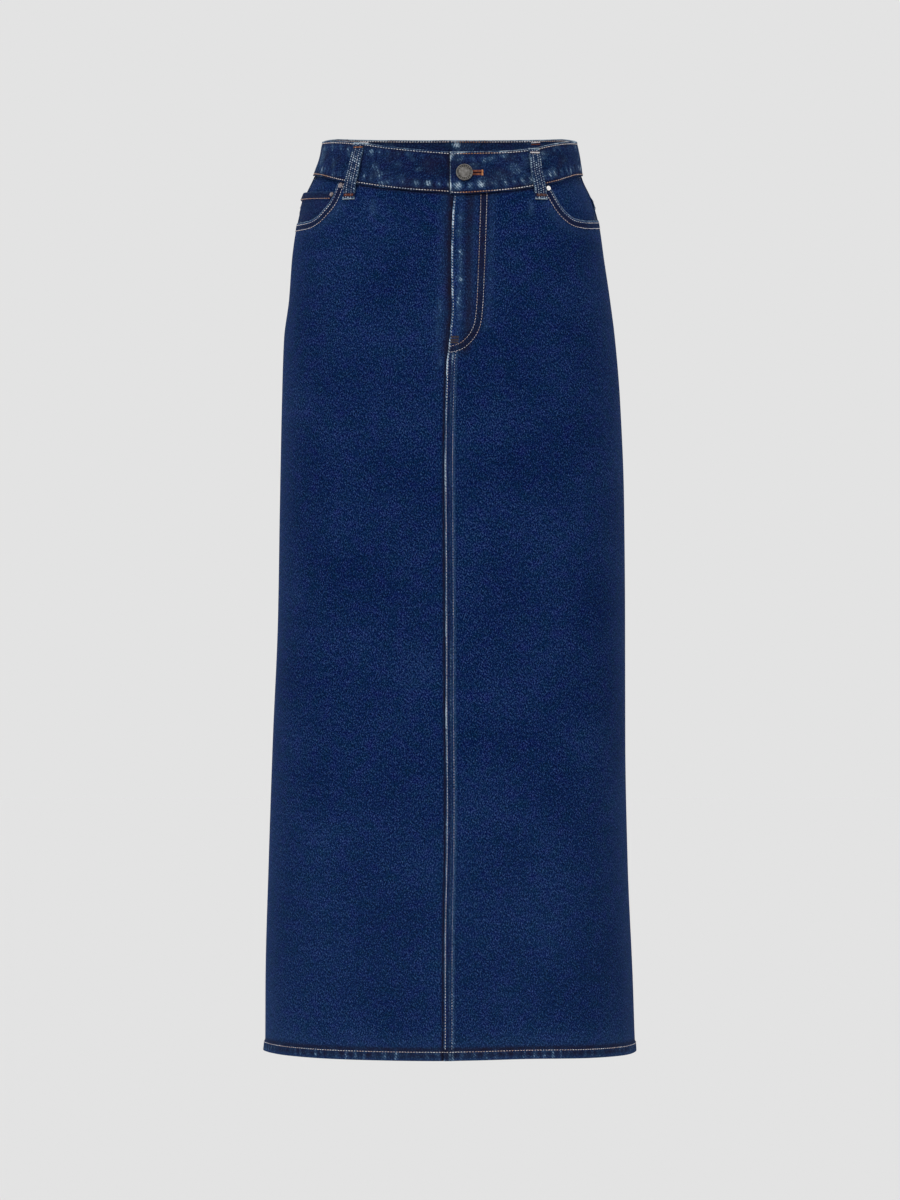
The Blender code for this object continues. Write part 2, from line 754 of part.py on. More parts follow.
def button(material):
    """The waist's shank button: a flat cap with a rolled rim, on a stem through the buttonhole."""
    height = BUTTON_HEIGHT
    angle = angle_at(BUTTON_X, height)
    stem_foot = BAND_OUT - UNDER_SINK + GAP
    cap_under = BAND_OUT + FLAP_LIFT + 2 * GAP - stem_foot
    cap_top = cap_under + BUTTON_THICKNESS
    r = BUTTON_RADIUS
    made = turned(
        "button",
        [
            (0.0, 0.0),
            (SHANK_RADIUS, 0.0),
            (SHANK_RADIUS, cap_under),
            (0.82 * r, cap_under),
            (0.97 * r, cap_under + 0.9 * MM),
            (r, cap_under + 1.8 * MM),
            (0.96 * r, cap_top - 0.5 * MM),
            (0.88 * r, cap_top),
            (0.80 * r, cap_top - 0.2 * MM),
            (0.76 * r, cap_top - 0.7 * MM),
            (0.0, cap_top - 0.5 * MM),
        ],
        32,
        material,
    )
    stand_on_skin(made, angle, height, stem_foot)


def buttonhole_cutter():
    """A keyhole: a round eye at the button's stem, and a slit away from the flap's edge."""
    angle = angle_at((BUTTON_X + SLIT_END) / 2, EYE_HEIGHT)
    middle = skin(angle, EYE_HEIGHT)
    reach = 4 * (BAND_OUT + BAND_IN)
    mesh = bmesh.new()
    turn = math.asin(SLIT_HALF_WIDTH / EYE_RADIUS)
    outline = []
    for step in range(EYE_STEPS + 1):
        a = turn + (math.tau - 2 * turn) * step / EYE_STEPS
        outline.append((BUTTON_X + EYE_RADIUS * math.cos(a), EYE_RADIUS * math.sin(a)))
    outline += [(SLIT_END, -SLIT_HALF_WIDTH), (SLIT_END, SLIT_HALF_WIDTH)]
    near = [mesh.verts.new((x, middle.y - reach, EYE_HEIGHT + z)) for x, z in outline]
    face = mesh.faces.new(near)
    pushed = bmesh.ops.extrude_face_region(mesh, geom=[face])["geom"]
    far = [v for v in pushed if isinstance(v, bmesh.types.BMVert)]
    bmesh.ops.translate(mesh, verts=far, vec=(0, 2 * reach, 0))
    cutter = add_object("buttonhole_cutter", mesh, METAL)
    cutter.hide_render = True
    cutter.display_type = "WIRE"
    return cutter


def rivet(spec, material):
    """A pocket rivet's round cap, with a small nipple in a shallow dish."""
    r = spec.radius
    made = turned(
        spec.name,
        [
            (0.0, 0.0),
            (0.95 * r, 0.0),
            (r, 0.35 * RIVET_HEIGHT),
            (0.80 * r, 0.85 * RIVET_HEIGHT),
            (0.55 * r, 0.80 * RIVET_HEIGHT),
            (0.30 * r, RIVET_HEIGHT),
            (0.0, 1.05 * RIVET_HEIGHT),
        ],
        16,
        material,
    )
    stand_on_skin(made, spec.angle, spec.height, spec.on + GAP)


clear_scene()
SKIRT = bpy.data.objects.new("skirt", None)
bpy.context.scene.collection.objects.link(SKIRT)
DENIM_BLUE = finish("denim", (0.0075, 0.018, 0.067), 0.85)
METAL = finish("antique_nickel", (0.20, 0.19, 0.17), 0.42, 1.0)
RIVET_METAL = finish("nickel_rivet", (0.55, 0.53, 0.52), 0.35, 1.0)

LEFT_STEPS = (0.0, LAP_FLAT / 2, LAP_FLAT, LAP_END)
RIGHT_STEPS = (LAP_UNDER, 0.0, -4 * GAP)
front_panel(
    "front_panel_left", 1, MOUTH_LEFT, LEFT_STEPS, left_outside, left_inside, DENIM_BLUE
)
front_panel(
    "front_panel_right", -1, MOUTH_RIGHT, RIGHT_STEPS, right_outside, right_inside, DENIM_BLUE
)
back_panel(
    "back_panel_left", 1, LEFT_STEPS[::-1], left_outside, left_inside, DENIM_BLUE
)
back_panel(
    "back_panel_right", -1, RIGHT_STEPS[::-1], right_outside, right_inside, DENIM_BLUE
)
yoke("yoke_left", 1, LEFT_STEPS[::-1], left_outside, left_inside, DENIM_BLUE)
yoke("yoke_right", -1, RIGHT_STEPS[::-1], right_outside, right_inside, DENIM_BLUE)

FLAP_PLACES = (FLAP_EDGE, 8 * MM, 20 * MM, 32 * MM, FLAP_RAMP[0], 46 * MM, FLAP_RAMP[1])
UNDER_PLACES = (
    UNDER_END, 24 * MM, 12 * MM, UNDER_RAMP[0], -7 * MM, UNDER_RAMP[1], -26 * MM, -38 * MM, -50 * MM
)
left_band = band_half(
    "waistband_left",
    1,
    FLAP_PLACES,
    lambda a, z: BAND_OUT + flap_lift(a, z) - band_rounding(a, z),
    lambda a, z: flap_lift(a, z) - BAND_IN,
    DENIM_BLUE,
)
band_half(
    "waistband_right",
    -1,
    UNDER_PLACES,
    lambda a, z: BAND_OUT - under_sink(a, z) - band_rounding(a, z),
    lambda a, z: -BAND_IN - under_sink(a, z),
    DENIM_BLUE,
)
cut = left_band.modifiers.new("buttonhole", "BOOLEAN")
cut.operation = "DIFFERENCE"
cut.solver = "EXACT"
cut.object = buttonhole_cutter()

facing("pocket_facing_left", 1, MOUTH_LEFT, DENIM_BLUE)
facing("pocket_facing_right", -1, MOUTH_RIGHT, DENIM_BLUE)
coin_pocket(DENIM_BLUE)
back_pocket("back_pocket_left", 1, DENIM_BLUE)
back_pocket("back_pocket_right", -1, DENIM_BLUE)
for spec in LOOPS:
    belt_loop(spec, DENIM_BLUE)
button(METAL)
for spec in RIVETS:
    rivet(spec, RIVET_METAL)
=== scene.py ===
"""A long five-pocket denim skirt, filled out as if worn: its cloth, sewing, button and rivets.

Metres, +Z up. The front faces -Y and the wearer's left is +X: left and right are the wearer's.
Every cloth piece is a thin closed shell. Its points come from skin(), the outside of the panels: an
angle round the body (0 at centre front, 90 at the left side, 180 at centre back, negative on the
right) and a height, moved out or in by the piece's own relief. A piece's wear, from 0 to about 1,
is how far rubbing has taken the dye off. Its darkening is partly how far sewing has kept the dye
and stained it, and partly painted shadow beside lapped edges, under the waistband and above the
hem.
"""

import math
from collections import namedtuple

import bmesh
import bpy
import numpy as np
from mathutils import Matrix, Vector


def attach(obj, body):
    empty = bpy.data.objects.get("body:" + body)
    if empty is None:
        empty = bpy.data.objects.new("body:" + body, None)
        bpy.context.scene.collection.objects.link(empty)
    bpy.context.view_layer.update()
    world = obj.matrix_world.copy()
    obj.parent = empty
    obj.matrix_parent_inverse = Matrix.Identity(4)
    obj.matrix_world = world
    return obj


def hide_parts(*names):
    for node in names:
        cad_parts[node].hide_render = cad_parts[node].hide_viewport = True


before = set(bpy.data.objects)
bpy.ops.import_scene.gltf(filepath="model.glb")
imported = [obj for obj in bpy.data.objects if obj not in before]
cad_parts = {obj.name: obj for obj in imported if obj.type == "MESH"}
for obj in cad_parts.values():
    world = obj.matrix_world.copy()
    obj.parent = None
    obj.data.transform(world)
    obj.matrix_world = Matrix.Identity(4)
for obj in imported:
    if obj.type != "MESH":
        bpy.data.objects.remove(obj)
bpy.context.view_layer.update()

MM = 0.001
RANDOM = np.random.default_rng(5)

# --- sizes --------------------------------------------------------------------------------------

DENIM = 1.2 * MM
SIDE = 90.0
BACK = 180.0
SQUARENESS = 0.035
FOLD = 0.55 * MM  # radius of a folded edge
FAR = 1.0  # a distance beyond any edge's reach
TUCK_RAMP = (-0.7 * MM, 0.5 * MM)
SIDE_SINK = 0.5 * MM
SIDE_WRAP = 1.6 * MM  # how far a front panel goes in past its side seam

# Mean radii, which turn degrees into lengths of cloth
WAIST_RADIUS = 125 * MM
HIP_RADIUS = 150 * MM
HEM_RADIUS = 165 * MM

HEM_BOTTOM = -926.0 * MM
HEM_DEPTH = 10.0 * MM
HEM_ROW = 9.0 * MM
HEM_OUT = 0.8 * MM
HEM_IN = 2.0 * MM
SWAY_REACH = 150.0 * MM

LAP_LIFT = 1.5 * MM
LAP_FLAT = 9.2 * MM
LAP_END = 13.0 * MM
LAP_ROWS = (1.5 * MM, 8.2 * MM)
LAP_COVER = (-1.2 * MM, -0.3 * MM)  # where the under layer goes out of sight
BACK_LAP_EDGE = -4.5 * MM

BAND_OUT = 1.4 * MM
BAND_IN = 1.6 * MM
BAND_ROW = 2.0 * MM
BAND_TUCK = 2.1 * MM  # how far a piece goes in under the waistband
FLAP_LIFT = 1.4 * MM
FLAP_RAMP = (40.0 * MM, 52.0 * MM)
UNDER_SINK = 1.9 * MM
UNDER_RAMP = (1.0 * MM, 14.0 * MM)

BUTTON_X = 14.5 * MM
BUTTON_HEIGHT = -22.6 * MM
BUTTON_RADIUS = 8.5 * MM
BUTTON_THICKNESS = 2.9 * MM
MILLED_RADIUS = 6.25 * MM
EYE_HEIGHT = -22.0 * MM
EYE_RADIUS = 2.2 * MM
SLIT_END = 32.0 * MM
SLIT_WIDTH = 0.9 * MM

LOOP_WIDTH = 12.3 * MM
LOOP_THICKNESS = 1.8 * MM
LOOP_GAUGE = 5.0 * MM  # between its two rows of stitching
LOOP_TACK = 4.6 * MM
LOOP_RIB = 2.45 * MM
LOOP_DOT = 2.3 * MM
LOOP_TOP_INSET = 0.4 * MM

FACING_OUT = -3.3 * MM
FACING_BOTTOM = -95.0 * MM
SEAM_RISE = 1.7 * MM
COIN_OUT = -1.5 * MM
COIN_IN = -2.5 * MM
COIN_TOP = -34.6 * MM
COIN_DROP = 4.0 * MM
COIN_DROP_END = 50.0
COIN_BOTTOM = -84.0 * MM
COIN_HEM = 7.2 * MM
COIN_BULGE = 2.2 * MM

YOKE_DEPTH_SIDE = 34.0 * MM
YOKE_DEPTH_CENTRE = 72.0 * MM
YOKE_LIP = 1.0 * MM
YOKE_TUCK = 1.6 * MM  # how far a back panel goes in under the yoke
POCKET_FROM_CENTRE = 38.0 * MM
POCKET_TOP_WIDTH = 128.0 * MM
POCKET_FOOT_WIDTH = 106.0 * MM
POCKET_BELOW_YOKE = 22.0 * MM
POCKET_HEIGHT = 128.0 * MM
POCKET_POINT = 16.0 * MM
POCKET_TOP_LEVEL = -115.0 * MM
POCKET_LIE = 0.35 * MM
POCKET_THICKNESS = 1.1 * MM
POCKET_HEM = 14.0 * MM

STITCH = 2.9 * MM
LOOP_STITCH = 2.4 * MM
THREAD_WIDTH = 0.72 * MM
STITCH_RISE = 0.22 * MM
STITCH_SINK = 1.5 * MM
TACK_THREAD = 0.62 * MM
TACK_PITCH = 9.0 * MM
MOUTH_ROWS = (2.3 * MM, 8.1 * MM)
POCKET_ROWS = (1.6 * MM, 7.6 * MM)
YOKE_ROWS = (1.6 * MM, 7.7 * MM)
FLY_GAUGE = 6.1 * MM
FLY_FOOT = (-215.0 * MM, -200.0 * MM)

# The pitch of the slanting ropes that sewing raises along each seam, and how high they stand
HEM_ROPE, HEM_ROPE_RISE = 8.6 * MM, 0.35 * MM
LAP_ROPE, LAP_ROPE_RISE = 9.5 * MM, 0.14 * MM
BAND_ROPE, BAND_ROPE_RISE = 8.8 * MM, 0.32 * MM
YOKE_ROPE, YOKE_ROPE_RISE = 7.0 * MM, 0.2 * MM
MOUTH_ROPE, MOUTH_ROPE_RISE = 6.5 * MM, 0.16 * MM
POCKET_ROPE, POCKET_ROPE_RISE = 6.5 * MM, 0.18 * MM

# The most stain and painted shade that a panel and a seamed band take
PANEL_STAIN_AND_SHADE = 0.78
SEAM_STAIN_AND_SHADE = 0.85


def table(columns, *rows):
    """Rows of numbers under named columns: angles in degrees, and lengths in millimetres."""
    kind = namedtuple("line", columns)
    return [kind(*row) for row in rows]


SECTIONS = table(
    "height left right front back",
    (-926, 192.1, 192.9, 128.5, 136.5),
    (-911, 191.2, 191.6, 128.2, 136.2),
    (-853, 189.3, 191.4, 127.0, 135.0),
    (-728, 184.1, 188.2, 124.0, 132.5),
    (-603, 182.0, 184.1, 121.0, 130.0),
    (-479, 182.0, 178.9, 118.0, 128.0),
    (-354, 181.0, 176.8, 115.0, 126.5),
    (-250, 176.8, 174.7, 112.5, 124.5),
    (-187, 171.6, 172.6, 110.5, 121.0),
    (-146, 166.4, 167.4, 108.5, 117.0),
    (-104, 160.2, 164.3, 105.5, 112.0),
    (-68, 155.0, 159.1, 102.5, 107.5),
    (-42, 147.7, 152.4, 99.5, 103.5),
    (-17, 136.9, 141.1, 96.0, 100.0),
    (3, 133.8, 134.2, 93.5, 97.5),
    (17, 131.2, 131.9, 92.0, 96.0),
    (32, 130.6, 131.4, 91.5, 95.5),
)
BAND = table(
    "angle top depth",
    (-180, 29.6, 42.0), (-150, 28.7, 41.0), (-122, 26.8, 39.0), (-104, 22.6, 37.0),
    (-90, 18.8, 35.6), (-78, 16.8, 35.6), (-64, 15.3, 37.0), (-53, 13.7, 39.5),
    (-45, 12.0, 41.2), (-35, 9.4, 42.3), (-26, 6.2, 42.6), (-13, 2.4, 43.2),
    (-1, -0.1, 42.9), (1.5, -0.5, 44.1), (12, 0.0, 43.0), (24, 1.5, 41.1),
    (36, 5.0, 39.5), (45, 9.0, 39.4), (54, 12.1, 38.1), (66, 14.6, 36.0),
    (78, 16.2, 35.4), (90, 18.8, 35.6), (104, 22.6, 37.0), (122, 26.8, 39.0),
    (150, 28.7, 41.0), (180, 29.6, 42.0),
)
FRONT_LAP = table(
    "height x",
    (-926, -6.4), (-886, -6.2), (-815, -6.1), (-780, -5.8), (-742, -5.0), (-709, -4.3),
    (-655, -4.1), (-602, -4.4), (-560, -4.8), (-500, -4.8), (-424, -5.1), (-320, -5.6),
    (-218, -3.6), (-201, -1.6), (-183, 0.2), (-160, 1.8), (-115, 1.1), (-72, 2.1),
    (-36, 4.6),
)
MOUTH_LEFT = table(
    "angle height",
    (40.2, -31.5), (41.3, -39.2), (42.9, -48.4), (44.8, -56.4), (47.4, -62.2),
    (51.6, -66.7), (59.5, -67.9), (70.0, -66.6), (80.0, -65.0), (90.0, -63.0),
)
MOUTH_RIGHT = table(
    "angle height",
    (46.8, -27.5), (46.9, -39.7), (48.4, -49.8), (51.7, -57.8), (55.3, -64.0),
    (60.9, -67.6), (70.0, -68.3), (80.0, -67.6), (90.0, -66.5),
)
# The inner row of the fly's curved stitching
FLY_ROW = table(
    "x height",
    (31.7, -38.0), (30.3, -85.0), (28.5, -131.0), (27.4, -155.0), (25.2, -175.0),
    (20.0, -187.0), (12.5, -195.0), (5.5, -198.6), (-1.0, -200.0),
)
# The belt loops' middles at their tops and feet, and how far they run below the waistband
LOOPS = table(
    "name top foot below",
    ("front_left", 35.5, 34.6, 13.4),
    ("front_right", -39.8, -38.1, 16.4),
    ("back_left", 140.0, 140.0, 12.0),
    ("back_right", -140.0, -140.0, 12.0),
    ("centre_back", 180.0, 180.0, 12.0),
)
# How far a belt loop's inner face is off the skin, from its top (0) to its foot (1)
LOOP_STAND = table(
    "share out",
    (0.00, 1.8), (0.07, 1.8), (0.20, 3.7), (0.40, 4.5), (0.60, 4.3),
    (0.74, 3.2), (0.82, 2.1), (0.90, 0.5), (1.00, 0.4),
)
# Long shallow waves of the hanging cloth, which lean by some degrees towards the hem
WAVES = table(
    "angle lean width depth start",
    (-74, -4, 9, 1.1, -260), (-52, 3, 8, -0.9, -330), (-27, -3, 10, 0.9, -420),
    (13, 2, 9, -0.6, -480), (34, 4, 10, 1.0, -380), (61, -3, 8, -0.8, -300),
    (82, 3, 8, 0.9, -350), (112, 4, 10, -1.3, -330), (137, -5, 9, 1.4, -420),
    (163, 3, 10, -1.0, -360), (-115, 4, 10, 1.2, -400), (-141, -4, 9, -1.2, -350),
    (-160, 3, 8, 1.0, -450),
)
# How far the hem hangs above its lowest line
SWAY = table(
    "angle rise",
    (-180, 0.6), (-140, 1.6), (-95, 0.4), (-75, 2.2), (-35, 1.6), (-5, 0.9), (6, 1.4),
    (22, 2.4), (45, 1.3), (75, 0.2), (95, 0.2), (130, 1.8), (180, 0.6),
)
# Rubbed places at the front: on the waistband, by the fly, and at the side seams
RUBS = table(
    "x height wide tall amount",
    (2.3, -3.8, 2.4, 2.0, 0.8), (9.0, -9.0, 5.0, 3.8, 0.6), (8.4, -35.0, 4.8, 4.6, 1.05),
    (2.0, -41.5, 2.4, 2.0, 0.5), (34.4, -11.4, 1.5, 4.0, 0.5), (30.5, -8.2, 2.6, 1.6, 0.4),
    (28.5, -31.7, 2.4, 2.4, 0.4), (71.5, -19.5, 4.5, 1.6, 0.3), (77.0, -23.5, 3.0, 2.2, 0.4),
    (63.0, -27.5, 2.6, 4.5, 0.35), (-52.0, -12.5, 4.0, 3.0, 0.4), (-22.5, -12.0, 3.0, 2.6, 0.35),
    (-64.0, -21.5, 2.6, 2.4, 0.25), (4.0, -30.0, 1.6, 8.0, 0.2), (8.0, -155.0, 1.5, 9.0, 0.5),
    (11.0, -68.0, 3.0, 5.0, 0.3), (-10.5, -160.0, 2.5, 7.0, 0.35), (-9.8, -216.0, 1.8, 3.0, 0.55),
    (-14.0, -170.0, 3.0, 3.0, 0.25), (2.6, -210.5, 1.5, 5.0, 0.6), (11.0, -125.0, 2.0, 12.0, 0.3),
    (8.1, -82.0, 2.2, 2.6, 0.35), (10.5, -103.0, 2.0, 1.8, 0.45), (13.2, -106.5, 2.4, 1.8, 0.4),
    (8.1, -113.0, 2.0, 2.0, 0.35), (7.3, -130.0, 2.0, 1.6, 0.4), (11.5, -132.5, 2.4, 1.6, 0.4),
    (10.0, -148.0, 1.6, 4.0, 0.25), (11.0, -168.0, 2.2, 3.5, 0.3), (-13.0, -183.0, 1.4, 6.0, 0.3),
    (-79.0, -58.0, 3.0, 8.0, 0.35), (83.0, -57.0, 3.0, 7.0, 0.4),
)
# The waistband's two rows of thread: dyed grey by the denim, or tan where they kept their colour
BAND_TINTS = table(
    "x top foot",
    (-135, 0.30, 0.46), (-115, 0.20, 0.32), (-85, 0.14, 0.13), (-40, 0.12, 0.11),
    (-12, 0.14, 0.46), (4, 0.08, 0.10), (12, 0.50, 0.40), (22, 0.74, 0.70),
    (36, 0.50, 0.60), (52, 0.12, 0.14), (84, 0.14, 0.24), (105, 0.20, 0.50),
    (120, 0.14, 0.32), (138, 0.25, 0.50),
)
RIVETS = table(
    "node angle height radius on",
    ("rivet_pocket_left", 39.5, -36.6, 2.5, 0.0),
    ("rivet_pocket_right", -44.5, -33.3, 2.7, 0.0),
    ("rivet_coin_pocket", -48.9, -41.6, 2.3, -1.3),
)

# The rows and columns of the cloth's grids, close at folds and seams
HEM_ROWS = np.array([0, 0.25, 0.6, 1.1, 1.8, 2.6, 3.5, 4.4, 5.3, 6.2, 7.1, 7.8, 8.4, 9, 9.6, 10.3])
HEM_ROWS = np.concatenate([HEM_ROWS, [11.2, 12.6, 14.5, 17, 20.5, 25]]) * MM
TOP_ROWS = np.array([9.6, 8.2, 7.0, 5.8, 4.6, 3.5, 2.5, 1.7, 1.0, 0.5, 0.2, 0]) * MM
TUCK_ROWS = np.array([0.5, 1.5, 4.5]) * MM
LIP_ROWS = np.array([0, 0.2, 0.5, 0.9, 1.5, 2.3, 3.3, 4.5, 5.8, 7, 8, 9, 10, 11.2, 12.6]) * MM
COIN_ROWS = np.array([0, 0.2, 0.5, 0.9, 1.5, 2.3, 3.3, 4.5, 5.7, 6.8, 7.8, 8.8, 9.8, 11, 12.5]) * MM
BAND_ROWS = np.array([0, 0.2, 0.5, 0.9, 1.4, 2.0, 2.6, 3.3]) * MM
LOOP_ROWS = np.array([0, 0.15, 0.4, 0.75, 1.2]) * MM
OVER_STEPS = [0, 0.2, 0.5, 0.9, 1.5, 2.2, 3.1, 4.2, 5.4, 6.6, 7.6, 8.4, 9.2, 10.4, 11.7, 13]
UNDER_STEPS = [8.5, 7.9, 5, 2, 0.8, 0, -0.8, -1.6, -2.6, -4]
LAP_STEPS = {1: np.array(OVER_STEPS) * MM, -1: np.array(UNDER_STEPS) * MM}
MOUTH_PITCH = 1.7 * MM
FINE_PITCH = 2.9 * MM
FINE_FROM = -250 * MM
FRONT_LEVEL = -85 * MM
BACK_LEVEL = -130 * MM


# --- curves read from the tables ----------------------------------------------------------------


def read(rows, at, column):
    """A table's column at places in its first column, on a smooth curve that never overshoots."""
    place = np.array([row[0] for row in rows], float)
    value = np.array([getattr(row, column) for row in rows], float)
    at = np.clip(at, place[0], place[-1])
    slope = np.diff(value) / np.diff(place)
    turning = slope[:-1] * slope[1:] <= 0
    mean = 2 * slope[:-1] * slope[1:] / np.where(turning, 1.0, slope[:-1] + slope[1:])
    tangent = np.concatenate([slope[:1], np.where(turning, 0.0, mean), slope[-1:]])
    k = np.clip(np.searchsorted(place, at, side="right") - 1, 0, len(place) - 2)
    width = place[k + 1] - place[k]
    t = (at - place[k]) / width
    return (
        (1 + 2 * t) * (1 - t) ** 2 * value[k]
        + t * (1 - t) ** 2 * width * tangent[k]
        + t * t * (3 - 2 * t) * value[k + 1]
        + t * t * (t - 1) * width * tangent[k + 1]
    )


def ramp(value, start, end):
    """0 at start and 1 at end, smoothly."""
    t = np.clip((value - start) / (end - start), 0.0, 1.0)
    return t * t * (3 - 2 * t)


def bell(value, width):
    return np.exp(-((value / width) ** 2))


def grow(value, start, end):
    """A ramp between millimetres."""
    return ramp(value, start * MM, end * MM)


def near(value, at, width):
    """A bell round a place, in millimetres."""
    return bell(value - at * MM, width * MM)


def wrap(angle):
    return (angle + BACK) % (2 * BACK) - BACK


def hang(angle, height):
    """The long shallow waves of the hanging cloth, which deepen towards the hem."""
    out = np.zeros(np.broadcast(angle, height).shape)
    for wave in WAVES:
        down = ramp(height, wave.start * MM, HEM_BOTTOM)
        away = wrap(angle - (wave.angle + wave.lean * down))
        out += wave.depth * MM * down * bell(away, wave.width)
    return out


def skin(angle, height, out=0.0):
    """Points at angles in degrees and heights, moved out from the outside of the panels."""
    angle, height, out = np.broadcast_arrays(angle, height, out)
    a = np.radians(angle)
    left, right, front, back = (
        read(SECTIONS, height / MM, way) for way in ("left", "right", "front", "back")
    )
    half = np.where(np.sin(a) >= 0, left, right) * MM / (1 - SQUARENESS)
    deep = np.where(np.cos(a) >= 0, front, back) * MM / (1 - SQUARENESS)
    x = half * (np.sin(a) + SQUARENESS * np.sin(3 * a))
    y = -deep * (np.cos(a) - SQUARENESS * np.cos(3 * a))
    along_x = half * (np.cos(a) + 3 * SQUARENESS * np.cos(3 * a))
    along_y = deep * (np.sin(a) - 3 * SQUARENESS * np.sin(3 * a))
    out = (out + hang(angle, height)) / np.hypot(along_x, along_y)
    sway = read(SWAY, wrap(angle), "rise") * MM * ramp(height, HEM_BOTTOM + SWAY_REACH, HEM_BOTTOM)
    return np.stack([x + along_y * out, y - along_x * out, height + sway], axis=-1)


def outward(angle, height):
    """The way out of the cloth, square to it both round the body and up it."""
    around = skin(angle + 0.3, height) - skin(angle - 0.3, height)
    up = skin(angle, height + MM) - skin(angle, height - MM)
    normal = np.cross(around, up)
    return normal / np.linalg.norm(normal, axis=-1, keepdims=True)


def angle_at(x, height, back=False):
    """The angles whose points on the front, or on the back, are x from the middle."""
    x, height = np.broadcast_arrays(x, height)
    low, high = np.full(x.shape, -SIDE), np.full(x.shape, SIDE)
    for _ in range(30):
        middle = (low + high) / 2
        left = skin(middle, height)[..., 0] < x
        low, high = np.where(left, middle, low), np.where(left, high, middle)
    return BACK - low if back else low


def lengths(points, axis=0):
    """How far along its line each point of a line or grid is."""
    step = np.linalg.norm(np.diff(points, axis=axis), axis=-1)
    return np.concatenate([0 * np.take(step, [0], axis), np.cumsum(step, axis)], axis)


def angle_along(start, height, distance):
    """The angle at a distance round the skin from a starting angle: positive turns to the left."""
    steps = np.linspace(start, start + math.copysign(90, distance), 400)
    return float(np.interp(abs(distance), lengths(skin(steps, height)), steps))


def band_top(angle):
    return read(BAND, angle, "top") * MM


def band_foot(angle):
    return band_top(angle) - read(BAND, angle, "depth") * MM


def yoke_foot(angle):
    """The yoke seam: a shallow V, deepest at centre back."""
    angle = np.minimum(np.abs(angle), BACK)
    share = (angle - SIDE) / (BACK - SIDE)
    return band_foot(angle) - (YOKE_DEPTH_SIDE + (YOKE_DEPTH_CENTRE - YOKE_DEPTH_SIDE) * share)


def lap_edge(height):
    return read(FRONT_LAP, height / MM, "x") * MM


def coin_top(angle):
    """The coin pocket's top edge, which falls from the side seam to the front."""
    return COIN_TOP - COIN_DROP * (SIDE - np.abs(angle)) / (SIDE - COIN_DROP_END)


def curve(rows, count):
    """Evenly shared places on a smooth curve through a table's rows."""
    rows = np.array(rows, float)
    rows = np.concatenate([2 * rows[:1] - rows[1:2], rows, 2 * rows[-1:] - rows[-2:-1]])
    at = np.linspace(0, len(rows) - 3 - 1e-9, count)
    k, t = at.astype(int), (at % 1)[:, None]
    a, b, c, d = (rows[k + n] for n in range(4))
    cubic = (3 * b - a - 3 * c + d) * t**3 + (2 * a - 5 * b + 4 * c - d) * t**2
    return 0.5 * (2 * b + (c - a) * t + cubic)


def even(line, pitch):
    """A line of places with its points moved to an even pitch, measured on the cloth."""
    gone = lengths(skin(*line.T))
    at = np.linspace(0, gone[-1], max(2, round(gone[-1] / pitch) + 1))
    return np.stack([np.interp(at, gone, column) for column in line.T], axis=1)


def inset(line, distance):
    """A line of places on the front, moved sideways on the cloth: to its right as it runs."""
    points = skin(*line.T)
    side = np.cross(np.gradient(points, axis=0), outward(*line.T))
    moved = points + side / np.linalg.norm(side, axis=1, keepdims=True) * distance
    return np.stack([angle_at(moved[:, 0], moved[:, 2]), moved[:, 2]], axis=1)


def reach(points, line):
    """How far points are from a line of places, and how far along it their nearest places are."""
    line = skin(*line.T)
    start, step = line[:-1], np.diff(line, axis=0)
    long, begun = np.linalg.norm(step, axis=1), lengths(line)
    flat = points.reshape(-1, 3)
    gap, along = np.empty(len(flat)), np.empty(len(flat))
    for part in np.array_split(np.arange(len(flat)), len(flat) // 3000 + 1):
        away = flat[part, None] - start
        share = np.clip((away * step).sum(-1) / long**2, 0, 1)
        gaps = np.linalg.norm(away - share[..., None] * step, axis=-1)
        nearest = gaps.argmin(1)
        rows = np.arange(len(part))
        gap[part] = gaps[rows, nearest]
        along[part] = begun[nearest] + share[rows, nearest] * long[nearest]
    return gap.reshape(points.shape[:-1]), along.reshape(points.shape[:-1])


def sampled(values, old_across, old_down, across, down):
    """A grid of values read at other places across and down, in straight steps between its own."""
    rows = np.array([np.interp(down, old_down, line) for line in values])
    return np.array([np.interp(across, old_across, rows[:, k]) for k in range(len(down))]).T


def wander(along, seed, pitch):
    """A smooth random line from -1 to 1, with a turn about every pitch."""
    draws = np.random.default_rng(seed).uniform(-1, 1, 4096)
    at = np.asarray(along) / pitch + 2000
    k = np.floor(at).astype(int)
    t = at - k
    t = t * t * (3 - 2 * t)
    return draws[k % 4096] * (1 - t) + draws[(k + 1) % 4096] * t


def rope(along, across, pitch, slant, seed):
    """The slanting ridges beside a row of stitching, from 0 in the troughs to 1 on the crests."""
    phase = along / pitch + slant * across / pitch + 0.35 * wander(along, seed, 2.3 * pitch)
    crest = (0.5 + 0.5 * np.cos(math.tau * phase)) ** 1.3
    return crest * (0.72 + 0.28 * wander(along, seed + 1, 1.7 * pitch))


def folded(distance):
    """How far a folded edge's face draws in, at a distance from the fold."""
    inside = np.clip(FOLD - distance, 0, FOLD)
    return FOLD - np.sqrt(np.maximum(FOLD**2 - inside**2, 0))


def lap_lift(from_edge):
    """How far the upper layer of a lapped seam stands off, at a distance from its edge."""
    return LAP_LIFT * (1 - ramp(from_edge, LAP_FLAT, LAP_END))


def fly_line(outside=0.0):
    """The fly's inner row of stitching as places on the front, or a line outside it."""
    row = curve(FLY_ROW, 120) * MM
    line = np.stack([angle_at(row[:, 0], row[:, 1]), row[:, 1]], axis=1)
    return inset(line, -outside) if outside else line


def fly_lines():
    return fly_line(), fly_line(FLY_GAUGE)


# --- materials ----------------------------------------------------------------------------------


def linear(text):
    """An sRGB hex colour as linear light."""
    parts = [int(text[k : k + 2], 16) / 255 for k in (1, 3, 5)]
    return (*[c / 12.92 if c <= 0.04045 else ((c + 0.055) / 1.055) ** 2.4 for c in parts], 1.0)


